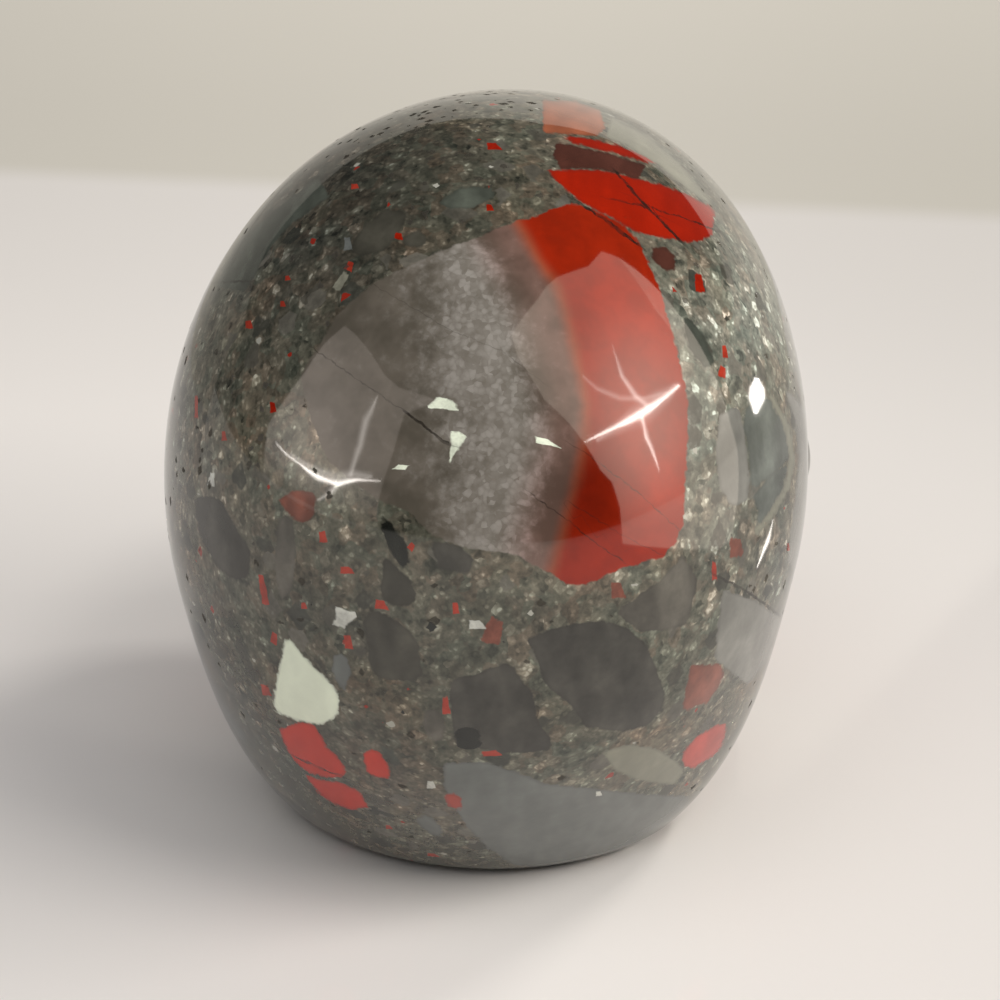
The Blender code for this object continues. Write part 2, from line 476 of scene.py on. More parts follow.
AGATE_OUTLINE: Pixels = (
    (338, 314), (316, 350), (301, 375), (307, 404), (313, 427), (325, 455), (350, 480), (380, 500),
    (411, 513), (432, 536), (464, 547), (516, 555), (558, 578), (563, 583), (586, 586), (600, 578),
    (623, 568), (662, 557), (675, 544), (683, 526), (687, 450), (688, 420), (687, 394), (678, 355),
    (673, 335), (662, 297), (649, 263), (636, 237), (623, 226), (597, 211), (571, 203), (555, 208),
    (539, 216), (508, 224), (464, 242), (425, 258), (377, 281),
)
RED_EDGE: Pixels = (
    (500, 190), (512, 222), (534, 262), (553, 290), (570, 350), (581, 400), (580, 440), (568, 490),
    (556, 535), (540, 600),
)
SUGAR_LEFT: Pixels = ((418, 220), (428, 300), (434, 400), (446, 480), (452, 600))
SUGAR_RIGHT: Pixels = ((470, 220), (500, 262), (522, 330), (545, 420), (552, 470), (536, 520), (520, 600))

FRAGMENTS = (
    Fragment(Rock.BRIGHT_JASPER, (
        (546, 170), (597, 170), (623, 174), (662, 185), (688, 195), (709, 206), (715, 213), (713, 226),
        (712, 234), (699, 242), (683, 242), (662, 237), (639, 234), (618, 221), (586, 205), (571, 195),
        (558, 182),
    )),
    Fragment(Rock.BRIGHT_JASPER, (
        (563, 136), (590, 138), (620, 146), (667, 164), (650, 163), (610, 152), (575, 144),
    )),
    Fragment(Rock.LIVER_BROWN, (
        (556, 141), (575, 146), (612, 154), (645, 165), (640, 180), (600, 169), (560, 168), (553, 155),
    )),
    Fragment(Rock.ORANGE_QUARTZ, (
        (543, 100), (575, 101), (600, 110), (605, 128), (596, 136), (543, 133),
    )),
    Fragment(Rock.PALE_GREEN, (
        (612, 117), (650, 138), (688, 172), (712, 205), (690, 192), (660, 166), (625, 145), (606, 137),
    )),
    Fragment(Rock.LIVER_BROWN, ((651, 247), (666, 248), (677, 258), (674, 271), (662, 269), (653, 259))),
    Fragment(Rock.SLATE_GREEN, ((683, 315), (700, 328), (715, 362), (706, 370), (688, 348))),
    Fragment(Rock.PALE_GREY, (
        (720, 415), (738, 404), (745, 434), (749, 475), (747, 502), (731, 506), (720, 488), (715, 447),
    )),
    Fragment(Rock.TEAL_GREY, (
        (742, 415), (754, 400), (773, 399), (787, 429), (790, 456), (781, 468), (763, 481), (752, 494),
        (749, 456), (745, 434),
    )),
    Fragment(Rock.TEAL_GREY, (
        (753, 496), (776, 470), (789, 464), (784, 493), (771, 513), (756, 532), (758, 511),
    )),
    Fragment(Rock.PALE_GREEN, (
        (772, 393), (790, 427), (795, 458), (790, 488), (774, 517), (757, 536), (753, 531), (768, 513),
        (784, 487), (789, 458), (785, 429), (768, 396),
    )),
    Fragment(Rock.PALE_GREY, (
        (783, 385), (806, 410), (809, 465), (805, 525), (796, 575), (788, 560), (795, 500), (799, 458),
        (795, 420),
    )),
    Fragment(Rock.PALE_GREY, ((722, 590), (755, 600), (780, 618), (768, 660), (748, 685), (715, 660))),
    Fragment(Rock.ASH_GREY, (
        (683, 555), (698, 578), (694, 599), (686, 625), (665, 630), (639, 632), (615, 612), (641, 594),
        (662, 578),
    )),
    Fragment(Rock.SMOKY_GREY, (
        (526, 638), (566, 625), (602, 620), (628, 628), (647, 646), (654, 664), (665, 693), (662, 711),
        (647, 725), (623, 732), (586, 727), (571, 704), (545, 685), (537, 659),
    )),
    Fragment(Rock.SMOKY_GREY, (
        (450, 680), (474, 675), (505, 663), (513, 664), (518, 677), (534, 693), (537, 722), (550, 735),
        (552, 748), (529, 753), (503, 753), (455, 745), (450, 700),
    )),
    Fragment(Rock.DARK_SMOKE, (
        (364, 617), (380, 610), (406, 628), (419, 643), (422, 677), (411, 681), (380, 680), (370, 667),
    )),
    Fragment(Rock.NEAR_BLACK, ((378, 513), (391, 523), (406, 544), (411, 562), (402, 570), (384, 540))),
    Fragment(Rock.DARK_SMOKE, ((384, 556), (404, 574), (419, 590), (414, 605), (396, 607), (380, 600))),
    Fragment(Rock.SMOKY_GREY, ((432, 540), (460, 545), (478, 565), (466, 575), (436, 568))),
    Fragment(Rock.SMOKY_GREY, (
        (194, 497), (218, 497), (236, 526), (252, 555), (249, 578), (234, 580), (215, 565), (200, 536),
    )),
    Fragment(Rock.SLATE_GREEN, ((438, 203), (461, 187), (495, 187), (493, 198), (474, 208), (451, 209))),
    Fragment(Rock.DARK_SMOKE, (
        (347, 250), (365, 225), (385, 210), (407, 212), (400, 235), (385, 250), (360, 256),
    )),
    Fragment(Rock.DARK_SMOKE, ((400, 238), (420, 228), (428, 240), (420, 247), (405, 246))),
    Fragment(Rock.SLATE_GREEN, (
        (214, 286), (246, 292), (262, 262), (284, 230), (330, 196), (318, 178), (280, 205), (240, 240),
    )),
    Fragment(Rock.BLUE_GREY, (
        (444, 763), (486, 762), (519, 773), (545, 784), (590, 788), (640, 794), (690, 796), (688, 812),
        (655, 838), (610, 856), (553, 868), (515, 866), (490, 850), (468, 828), (452, 804), (444, 786),
    )),
    Fragment(Rock.PALE_GREEN, (
        (601, 752), (630, 744), (654, 748), (675, 760), (685, 771), (674, 785), (639, 781), (616, 771),
    )),
    Fragment(Rock.MINT_WHITE, (
        (285, 638), (291, 640), (302, 654), (311, 664), (328, 680), (337, 690), (340, 703), (337, 716),
        (322, 725), (313, 724), (296, 720), (282, 715), (274, 710), (274, 697), (277, 678), (281, 658),
    )),
    Fragment(Rock.VIVID_JASPER, (
        (279, 729), (303, 722), (316, 726), (326, 747), (337, 756), (346, 770), (343, 776), (328, 778),
        (310, 773), (300, 767), (288, 752),
    )),
    Fragment(Rock.VIVID_JASPER, (
        (305, 775), (322, 780), (340, 782), (357, 790), (365, 799), (368, 807), (351, 810), (328, 801),
        (316, 790),
    )),
    Fragment(Rock.VIVID_JASPER, (
        (362, 753), (372, 750), (380, 753), (391, 769), (389, 778), (377, 778), (368, 775),
    )),
    Fragment(Rock.PINK_JASPER, (
        (682, 759), (685, 749), (697, 736), (717, 725), (727, 724), (724, 739), (719, 751), (706, 761),
        (694, 768), (685, 767),
    )),
    Fragment(Rock.DUSKY_JASPER, (
        (691, 665), (722, 664), (724, 677), (717, 689), (709, 702), (696, 706), (688, 712), (683, 708),
        (686, 689),
    )),
    Fragment(Rock.DUSKY_JASPER, ((278, 500), (296, 489), (317, 494), (315, 515), (307, 523), (291, 518))),
    Fragment(Rock.COPPER_JASPER, ((444, 795), (453, 792), (463, 800), (461, 811), (450, 808))),
    Fragment(Rock.BLUE_GREY, ((333, 655), (346, 652), (352, 672), (344, 690), (332, 676))),
    Fragment(Rock.BLUE_GREY, ((196, 640), (216, 690), (248, 740), (238, 742), (206, 690))),
    Fragment(Rock.SLATE_GREEN, ((378, 744), (390, 748), (402, 762), (397, 768), (388, 760))),
    Fragment(Rock.BLUE_GREY, ((416, 818), (428, 815), (441, 826), (443, 838), (430, 834), (420, 826))),
    Fragment(Rock.ASH_GREY, ((278, 520), (290, 512), (297, 545), (292, 590), (282, 602), (274, 570))),
    Fragment(Rock.ASH_GREY, ((424, 712), (438, 708), (446, 722), (442, 740), (430, 742), (423, 728))),
)

CHIPS = (
    Chip(Rock.BRIGHT_JASPER, (411, 163), (17, 9)),
    Chip(Rock.BRIGHT_JASPER, (493, 146), (14, 8)),
    Chip(Rock.COPPER_JASPER, (355, 187), (9, 6)),
    Chip(Rock.COPPER_JASPER, (312, 229), (8, 5)),
    Chip(Rock.BRIGHT_JASPER, (399, 236), (10, 7), 15.0),
    Chip(Rock.COPPER_JASPER, (350, 267), (9, 9), 30.0),
    Chip(Rock.COPPER_JASPER, (288, 279), (6, 5)),
    Chip(Rock.COPPER_JASPER, (283, 304), (6, 6)),
    Chip(Rock.COPPER_JASPER, (249, 325), (9, 8)),
    Chip(Rock.BRIGHT_JASPER, (272, 407), (7, 10)),
    Chip(Rock.COPPER_JASPER, (224, 437), (6, 9)),
    Chip(Rock.COPPER_JASPER, (196, 408), (5, 22)),
    Chip(Rock.BRIGHT_JASPER, (489, 208), (7, 7)),
    Chip(Rock.BRIGHT_JASPER, (699, 284), (11, 19)),
    Chip(Rock.COPPER_JASPER, (725, 352), (6, 13)),
    Chip(Rock.COPPER_JASPER, (723, 372), (9, 11), 20.0),
    Chip(Rock.COPPER_JASPER, (264, 590), (8, 34), -6.0),
    Chip(Rock.COPPER_JASPER, (280, 606), (5, 8)),
    Chip(Rock.COPPER_JASPER, (304, 607), (6, 6)),
    Chip(Rock.COPPER_JASPER, (275, 638), (8, 11), 20.0),
    Chip(Rock.COPPER_JASPER, (266, 690), (11, 11)),
    Chip(Rock.COPPER_JASPER, (381, 606), (14, 9), 8.0),
    Chip(Rock.COPPER_JASPER, (348, 642), (9, 13)),
    Chip(Rock.COPPER_JASPER, (491, 753), (20, 6), -4.0),
    Chip(Rock.COPPER_JASPER, (446, 705), (8, 18)),
    Chip(Rock.DUSKY_JASPER, (493, 632), (20, 26), 25.0),
    Chip(Rock.COPPER_JASPER, (323, 538), (9, 11)),
    Chip(Rock.COPPER_JASPER, (347, 570), (14, 7)),
    Chip(Rock.COPPER_JASPER, (411, 547), (7, 7), 45.0),
    Chip(Rock.COPPER_JASPER, (457, 608), (7, 11)),
    Chip(Rock.DUSKY_JASPER, (737, 548), (18, 20)),
    Chip(Rock.COPPER_JASPER, (715, 570), (6, 20)),
    Chip(Rock.DUSKY_JASPER, (617, 590), (15, 16)),
    Chip(Rock.COPPER_JASPER, (788, 547), (5, 8)),
    Chip(Rock.COPPER_JASPER, (388, 827), (7, 5)),
    Chip(Rock.COPPER_JASPER, (432, 855), (12, 5)),
    Chip(Rock.MINT_WHITE, (443, 404), (35, 11), 6.0, 0.6, 0.0),
    Chip(Rock.MINT_WHITE, (455, 448), (17, 30), 28.0, -0.85, 0.3),
    Chip(Rock.MINT_WHITE, (401, 467), (13, 5), 4.0, 0.1, -0.4),
    Chip(Rock.MINT_WHITE, (544, 442), (27, 6), 13.0, 0.5, 0.3),
    Chip(Rock.BONE_WHITE, (212, 479), (9, 14), 10.0, 0.4, 0.0),
    Chip(Rock.BONE_WHITE, (343, 618), (25, 18), 12.0, -0.5, -0.3),
    Chip(Rock.BONE_WHITE, (431, 785), (10, 9)),
    Chip(Rock.BONE_WHITE, (476, 624), (16, 9)),
    Chip(Rock.PALE_GREEN, (341, 281), (10, 20), 35.0),
    Chip(Rock.BLUE_GREY, (348, 243), (9, 14)),
    Chip(Rock.BONE_WHITE, (599, 793), (7, 6)),
    Chip(Rock.NEAR_BLACK, (467, 739), (30, 30)),
)

CRACKS = (
    Crack(((318, 352), (352, 376), (405, 412)), 0.75),
    Crack(((405, 412), (428, 428), (441, 441), (453, 445)), 1.0),
    Crack(((375, 285), (450, 330), (500, 350), (540, 380)), 0.45),
    Crack(((573, 446), (593, 458), (641, 495), (677, 528)), 0.6),
    Crack(((572, 504), (618, 533), (667, 558)), 0.55),
    Crack(((532, 495), (570, 522), (599, 545), (622, 561)), 0.7),
    Crack(((617, 173), (645, 205), (682, 242)), 0.95),
    Crack(((572, 199), (600, 216), (640, 246)), 1.0),
    Crack(((612, 199), (650, 207), (690, 220), (718, 231)), 0.8),
    Crack(((715, 575), (745, 590), (782, 617)), 1.0),
    Crack(((296, 757), (325, 770), (348, 779)), 0.8),
    Crack(((210, 283), (250, 281)), 0.9),
    Crack(((545, 165), (600, 152), (640, 160)), 0.3),
)

# A stretch of the stone: its middle pixel, its radius in pixels, and a gain
Zone = tuple[tuple[float, float], float, float]

# How often a place for a pit holds one, and where pits are more or less frequent
USUAL_PITTING = 0.12
PIT_ZONES: tuple[Zone, ...] = (
    ((440, 112), 100.0, 6.5),
    ((290, 430), 45.0, 5.0),
    ((215, 330), 70.0, 2.5),
    ((560, 800), 120.0, 0.5),
)

# Stretches where the ground mass is coarser and a cooler grey
COOL_ZONES: tuple[Zone, ...] = (
    ((735, 320), 80.0, 2.0),
    ((700, 440), 45.0, 1.7),
    ((745, 560), 70.0, 1.7),
    ((200, 430), 60.0, 1.5),
    ((290, 250), 80.0, 1.5),
    ((250, 790), 90.0, 1.5),
)

# Painted light and shade on the large agate: darker low in the red band, lighter in other stretches
AGATE_LIGHT_ZONES: tuple[Zone, ...] = (
    ((592, 500), 42.0, 0.56),
    ((665, 500), 40.0, 1.45),
    ((640, 310), 50.0, 1.30),
    ((620, 562), 30.0, 1.30),
    ((350, 430), 110.0, 0.90),
    ((560, 250), 40.0, 1.10),
)

# Brighter and darker stretches of the ground mass: partly its own brightness, partly painted light and shade
GROUND_TONE_AND_LIGHT_ZONES: tuple[Zone, ...] = (
    ((430, 180), 130.0, 0.62),
    ((300, 260), 90.0, 0.68),
    ((320, 160), 80.0, 0.60),
    ((735, 320), 90.0, 1.92),
    ((720, 580), 110.0, 1.35),
    ((700, 440), 45.0, 1.35),
    ((310, 450), 60.0, 1.50),
    ((215, 400), 90.0, 1.12),
    ((380, 770), 70.0, 0.90),
    ((250, 640), 110.0, 0.85),
    ((430, 700), 120.0, 0.84),
    ((620, 810), 100.0, 1.12),
    ((280, 250), 50.0, 1.35),
    ((560, 110), 70.0, 1.30),
)


def polygon_distance(points: np.ndarray, outline: Pixels) -> np.ndarray:
    """Signed distance from each point to a closed outline, negative inside.

    Args:
        points: Pixel positions.
        outline: The outline's corners in order.

    Returns:
        One distance in pixels for each point.
    """
    corners = np.array(outline, dtype=float)
    nearest = np.full(len(points), np.inf)
    inside = np.zeros(len(points), dtype=bool)
    for start, end in zip(corners, np.roll(corners, -1, axis=0)):
        nearest = np.minimum(nearest, segment_distance(points, start, end))
        crosses = (start[1] > points[:, 1]) != (end[1] > points[:, 1])
        rise = end[1] - start[1]
        if rise:
            at = start[0] + (points[:, 1] - start[1]) * (end[0] - start[0]) / rise
            inside ^= crosses & (points[:, 0] < at)
    return np.where(inside, -nearest, nearest)


def segment_distance(points: np.ndarray, start: np.ndarray, end: np.ndarray) -> np.ndarray:
    """Distance from each point to the straight piece between two others."""
    run = end - start
    share = np.clip((points - start) @ run / (run @ run), 0, 1)
    return np.linalg.norm(points - start - share[:, None] * run, axis=1)


def side_of_route(points: np.ndarray, route: Pixels) -> np.ndarray:
    """Signed distance from a route, positive to the left of it as it runs down the picture."""
    corners = np.array(route, dtype=float)
    nearest = np.full(len(points), np.inf)
    signed = np.zeros(len(points))
    for start, end in zip(corners[:-1], corners[1:]):
        run = end - start
        apart = segment_distance(points, start, end)
        across = (points[:, 0] - start[0]) * run[1] - (points[:, 1] - start[1]) * run[0]
        closer = apart < nearest
        nearest = np.where(closer, apart, nearest)
        offset = across / np.linalg.norm(run)
        signed = np.where(closer, offset, signed)
    return signed


def smooth_step(values: np.ndarray, low: float, high: float) -> np.ndarray:
    """Nought below low, one above high, and a smooth rise between."""
    share = np.clip((values - low) / (high - low), 0, 1)
    return share * share * (3 - 2 * share)


@dataclass(frozen=True)
class HiddenSides:
    """How many fragments, chips and cracks the hidden sides get, and their sizes in metres."""

    seed: int = 11
    fragments: int = 64
    fragment_radius: Span = (0.0016, 0.0062)
    faces: int = 8
    flattest: float = 0.55
    chips: int = 150
    chip_size: Span = (0.00035, 0.0013)
    chip_taper: float = 0.8
    chip_slant: float = 0.5
    cracks: int = 7
    crack_reach: Span = (0.006, 0.013)
    crack_strength: float = 0.7
    crack_fade: float = 0.05
    starts_at: float = -0.08
    rocks: tuple[Rock, ...] = (
        Rock.AGATE, Rock.SMOKY_GREY, Rock.ASH_GREY, Rock.DARK_SMOKE, Rock.SLATE_GREEN, Rock.TEAL_GREY,
        Rock.BLUE_GREY, Rock.PALE_GREY, Rock.WARM_BROWN, Rock.COPPER_JASPER, Rock.JASPER, Rock.DARK_SMOKE,
        Rock.BRIGHT_JASPER, Rock.DUSKY_JASPER, Rock.PALE_GREEN, Rock.MINT_WHITE, Rock.SMOKY_GREY,
    )
    chip_rocks: tuple[Rock, ...] = (
        Rock.BRIGHT_JASPER, Rock.COPPER_JASPER, Rock.COPPER_JASPER, Rock.DUSKY_JASPER, Rock.BONE_WHITE,
    )


@dataclass
class Marks:
    """Every fragment's distance field over the surface, and its rock."""

    distances: list[np.ndarray]
    rocks: list[Rock]


@dataclass(frozen=True)
class ChipPlace:
    """A chip on the surface: its centre, its two scaled axes, its taper and slant, and its rock."""

    centre: np.ndarray
    axes: np.ndarray
    outline: tuple[float, float]
    rock: Rock


FRAGMENT_LAYERS = 4
CHIP_LAYERS = 3
# How far marks reach over the surface, in metres
FAR = 0.005
FRAGMENT_REACH = 0.0010
CHIP_REACH = 0.0011
CRACK_REACH = 0.0010
# How fast marks of the seen side shrink where the surface turns away, and from which turn
TURN_AWAY = 0.012
TURN_MARGIN = 0.02
# The offset where no chip is near, in half sizes of a chip
CHIP_FAR = 9.0
# A chip is placed between this many vertices, from a least pixel distance up
CHIP_ANCHORS = 4
LEAST_APART = 0.5
# A pixel distance that puts the vertices of the hidden side last
HIDDEN_APART = 1000.0


@dataclass
class Pattern:
    """Works out the stone's pattern for every vertex of its surface."""

    view: PhotoView
    points: np.ndarray
    normals: np.ndarray
    hidden: HiddenSides = HiddenSides()
    # Where bands of the agate fade in, in pixels from their routes
    red_band: Span = (-13.0, 20.0)
    red_halo: Span = (-62.0, -4.0)
    sugar_left: Span = (-60.0, 60.0)
    sugar_right: Span = (-22.0, 30.0)
    # Where stretches of the photograph fade in, by how far the surface faces the camera
    zone_facing: Span = (-0.1, 0.15)

    def __post_init__(self) -> None:
        """Find where each vertex lies in the photograph and how far it turns from the camera."""
        towards = self.view.eye() - self.points
        towards /= np.linalg.norm(towards, axis=1)[:, None]
        self.facing = (self.normals * towards).sum(axis=1)
        self.at = self.view.pixels(self.points)
        self.scale = self.view.pixel_size(self.points)
        self.turned = TURN_AWAY * np.maximum(0.0, TURN_MARGIN - self.facing)
        self.random = np.random.default_rng(self.hidden.seed)

    def seen_distance(self, outline: Pixels) -> np.ndarray:
        """Distance in metres from an outline of the photograph, growing where the surface turns away."""
        return polygon_distance(self.at, outline) * self.scale + self.turned

    def unseen_vertices(self) -> np.ndarray:
        """Indices of the vertices that the photograph doesn't show."""
        return np.flatnonzero(self.facing < self.hidden.starts_at)

    def unseen_fragment(self, centre: np.ndarray, radius: float) -> np.ndarray:
        """Distance in metres from a random angular solid around a point of the surface."""
        distance = np.full(len(self.points), -np.inf)
        for _ in range(self.hidden.faces):
            normal = self.random.normal(size=3)
            normal /= np.linalg.norm(normal)
            reach = radius * self.random.uniform(self.hidden.flattest, 1.0)
            distance = np.maximum(distance, (self.points - centre) @ normal - reach)
        return distance + TURN_AWAY * np.maximum(0.0, self.facing + TURN_MARGIN)

    def fragments(self) -> Marks:
        """Every fragment's distance field and rock, the seen ones first."""
        distances = [self.seen_distance(fragment.outline) for fragment in FRAGMENTS]
        rocks = [fragment.rock for fragment in FRAGMENTS]
        unseen = self.unseen_vertices()
        low, high = self.hidden.fragment_radius
        for index in range(self.hidden.fragments):
            centre = self.points[self.random.choice(unseen)]
            radius = low + (high - low) * self.random.random() ** 2
            distances.append(self.unseen_fragment(centre, radius))
            rocks.append(self.hidden.rocks[index % len(self.hidden.rocks)])
        return Marks(distances, rocks)

    def share_out(self, marks: Marks) -> list[list[int]]:
        """Sort fragments into layers, so that those of one layer stay clear of each other."""
        near = [distance < FRAGMENT_REACH for distance in marks.distances]
        layers: list[list[int]] = [[] for _ in range(FRAGMENT_LAYERS)]
        for index, zone in enumerate(near):
            clashes = [sum(int((zone & near[other]).sum()) for other in layer) for layer in layers]
            layers[int(np.argmin(clashes))].append(index)
        return layers

    def seen_chip(self, chip: Chip) -> ChipPlace:
        """Where a listed chip lies on the surface."""
        right, up, _ = self.view.axes()
        apart = np.linalg.norm(self.at - np.array(chip.centre), axis=1) + HIDDEN_APART * (self.facing < 0)
        nearest = np.argsort(apart)[:CHIP_ANCHORS]
        weights = 1 / np.maximum(apart[nearest], LEAST_APART)
        weights /= weights.sum()
        centre = weights @ self.points[nearest]
        scale = self.scale[nearest[0]] / 2
        turn = math.radians(chip.turn)
        across = right * math.cos(turn) - up * math.sin(turn)
        along = right * math.sin(turn) + up * math.cos(turn)
        axes = np.stack([across / (chip.size[0] * scale), along / (chip.size[1] * scale)])
        return ChipPlace(centre, axes, (chip.taper, chip.slant), chip.rock)

    def unseen_chip(self, vertex: int, rock: Rock) -> ChipPlace:
        """A chip of random size, turn and shape at a vertex."""
        low, high = self.hidden.chip_size
        normal = self.normals[vertex]
        across = np.cross(normal, self.random.normal(size=3))
        across /= np.linalg.norm(across)
        along = np.cross(normal, across)
        sizes = low + (high - low) * self.random.random(2) ** 2
        axes = np.stack([across / sizes[0], along / sizes[1]]) * 2
        taper = self.random.uniform(-self.hidden.chip_taper, self.hidden.chip_taper)
        slant = self.random.uniform(-self.hidden.chip_slant, self.hidden.chip_slant)
        return ChipPlace(self.points[vertex], axes, (taper, slant), rock)

    def chip_places(self) -> list[ChipPlace]:
        """Where every chip lies on the surface, the listed ones first."""
        places = [self.seen_chip(chip) for chip in CHIPS]
        unseen = self.unseen_vertices()
        for index in range(self.hidden.chips):
            rock = self.hidden.chip_rocks[index % len(self.hidden.chip_rocks)]
            places.append(self.unseen_chip(self.random.choice(unseen), rock))
        return places

    def chip_layers(self) -> list[tuple[np.ndarray, np.ndarray, np.ndarray]]:
        """For each chip layer, offsets from the nearest chip, its outline, and its colour."""
        groups: list[list[ChipPlace]] = [[] for _ in range(CHIP_LAYERS)]
        for place in self.chip_places():
            room = [
                min((np.linalg.norm(place.centre - other.centre) for other in group), default=1.0)
                for group in groups
            ]
            groups[int(np.argmax(room))].append(place)
        layers = []
        for group in groups:
            offsets = np.full((len(self.points), 3), CHIP_FAR)
            outlines = np.zeros((len(self.points), 3))
            colours = np.zeros((len(self.points), 4))
            nearest = np.full(len(self.points), np.inf)
            for place in group:
                apart = np.linalg.norm(self.points - place.centre, axis=1)
                closer = apart < nearest
                nearest = np.where(closer, apart, nearest)
                offsets[closer, :2] = (self.points[closer] - place.centre) @ place.axes.T
                outlines[closer, :2] = place.outline
                colours[closer] = colour_and_clouds(place.rock)
            offsets[:, 2] = nearest / CHIP_REACH
            layers.append((offsets, outlines, colours))
        return layers

    def seen_crack(self, crack: Crack) -> tuple[np.ndarray, np.ndarray, float]:
        """Distance from a listed crack, its signed distance, both in metres, and its strength."""
        corners = np.array(crack.route, dtype=float)
        apart = np.full(len(self.points), np.inf)
        for start, end in zip(corners[:-1], corners[1:]):
            apart = np.minimum(apart, segment_distance(self.at, start, end))
        signed = side_of_route(self.at, crack.route) * self.scale
        return apart * self.scale + self.turned, signed, crack.strength

    def unseen_crack(self, unseen: np.ndarray) -> tuple[np.ndarray, np.ndarray, float]:
        """The same for a random crack through one of the unseen vertices."""
        centre = self.points[self.random.choice(unseen)]
        normal = self.random.normal(size=3)
        normal /= np.linalg.norm(normal)
        reach = self.random.uniform(*self.hidden.crack_reach)
        across = (self.points - centre) @ normal
        along = np.linalg.norm(self.points - centre - across[:, None] * normal, axis=1)
        fade = self.hidden.crack_fade * np.maximum(0, self.facing)
        apart = np.abs(across) + np.maximum(0, along - reach) + fade
        return apart, across, self.hidden.crack_strength

    def crack_fields(self) -> tuple[np.ndarray, np.ndarray]:
        """Signed distance from the nearest crack in metres, and its strength near it."""
        nearest = np.full(len(self.points), np.inf)
        signed = np.full(len(self.points), FAR)
        strength = np.zeros(len(self.points))
        cracks = [self.seen_crack(crack) for crack in CRACKS]
        unseen = self.unseen_vertices()
        cracks += [self.unseen_crack(unseen) for _ in range(self.hidden.cracks)]
        for apart, across, dark in cracks:
            closer = apart < nearest
            nearest = np.where(closer, apart, nearest)
            signed = np.where(closer, across, signed)
            strength = np.where(closer, dark * np.clip(1 - apart / CRACK_REACH, 0, 1), strength)
        return signed, strength

    def gain(self, zones: tuple[Zone, ...]) -> np.ndarray:
        """How much stronger or weaker something is, from stretches that the photograph shows."""
        gain = np.ones(len(self.points))
        seen = smooth_step(self.facing, *self.zone_facing)
        for centre, radius, level in zones:
            apart = np.linalg.norm(self.at - np.array(centre), axis=1)
            gain *= 1 + (level - 1) * np.exp(-((apart / radius) ** 2)) * seen
        return gain

    def store(self, mesh: bpy.types.Mesh) -> None:
        """Write all fields of the pattern onto the mesh as attributes."""
        agate = self.seen_distance(AGATE_OUTLINE)
        store_value(mesh, "agate", agate / MM)
        red = side_of_route(self.at, RED_EDGE)
        store_value(mesh, "red_share", smooth_step(red, *self.red_band))
        store_value(mesh, "red_halo", smooth_step(red, *self.red_halo))
        from_left = smooth_step(side_of_route(self.at, SUGAR_LEFT), *self.sugar_left)
        from_right = smooth_step(-side_of_route(self.at, SUGAR_RIGHT), *self.sugar_right)
        store_value(mesh, "sugar_share", from_left * from_right)
        marks = self.fragments()
        everything = np.minimum(np.min(marks.distances, axis=0), agate)
        store_value(mesh, "open_ground", np.clip(everything, -FAR, FAR) / MM)
        for number, layer in enumerate(self.share_out(marks)):
            fields = np.stack([marks.distances[index] for index in layer])
            nearest = fields.argmin(axis=0)
            colours = np.array([colour_and_clouds(marks.rocks[index]) for index in layer])[nearest]
            store_value(mesh, f"fragment_{number}", np.minimum(fields.min(axis=0), FAR) / MM)
            store_colour(mesh, f"rock_{number}", colours)
        for number, (offsets, outlines, colours) in enumerate(self.chip_layers()):
            store_vector(mesh, f"chip_{number}", offsets)
            store_vector(mesh, f"chip_outline_{number}", outlines)
            store_colour(mesh, f"chip_rock_{number}", colours)
        signed, strength = self.crack_fields()
        store_value(mesh, "crack_side", signed / MM)
        store_value(mesh, "crack_strength", strength)
        # Gains of the ground mass: partly its own brightness, partly painted light and shade
        store_value(mesh, "tone_and_painted_light", self.gain(GROUND_TONE_AND_LIGHT_ZONES))
        # Painted light and shade on the large agate
        store_value(mesh, "agate_painted_light", self.gain(AGATE_LIGHT_ZONES))
        store_value(mesh, "coolness", np.clip(self.gain(COOL_ZONES) - 1, 0, 1))
        store_value(mesh, "pitting", self.gain(PIT_ZONES) * USUAL_PITTING)


def store_value(mesh: bpy.types.Mesh, name: str, values: np.ndarray) -> None:
    """Store one number for each vertex."""
    mesh.attributes.new(name, "FLOAT", "POINT").data.foreach_set("value", values.astype(np.float32))


def store_vector(mesh: bpy.types.Mesh, name: str, values: np.ndarray) -> None:
    """Store one vector for each vertex."""
    flat = values.astype(np.float32).ravel()
    mesh.attributes.new(name, "FLOAT_VECTOR", "POINT").data.foreach_set("vector", flat)


def colour_and_clouds(rock: Rock) -> tuple[float, float, float, float]:
    """A rock's colour, and how strongly sweeps and clouds show in it."""
    return (*rock.value, EVENNESS.get(rock, 1.0))


def store_colour(mesh: bpy.types.Mesh, name: str, values: np.ndarray) -> None:
    """Store one colour with its fourth value for each vertex."""
    flat = values.astype(np.float32).ravel()
    mesh.attributes.new(name, "FLOAT_COLOR", "POINT").data.foreach_set("color", flat)


# Shader building


Socket = bpy.types.NodeSocket
Input = Socket | float | tuple[float, ...]


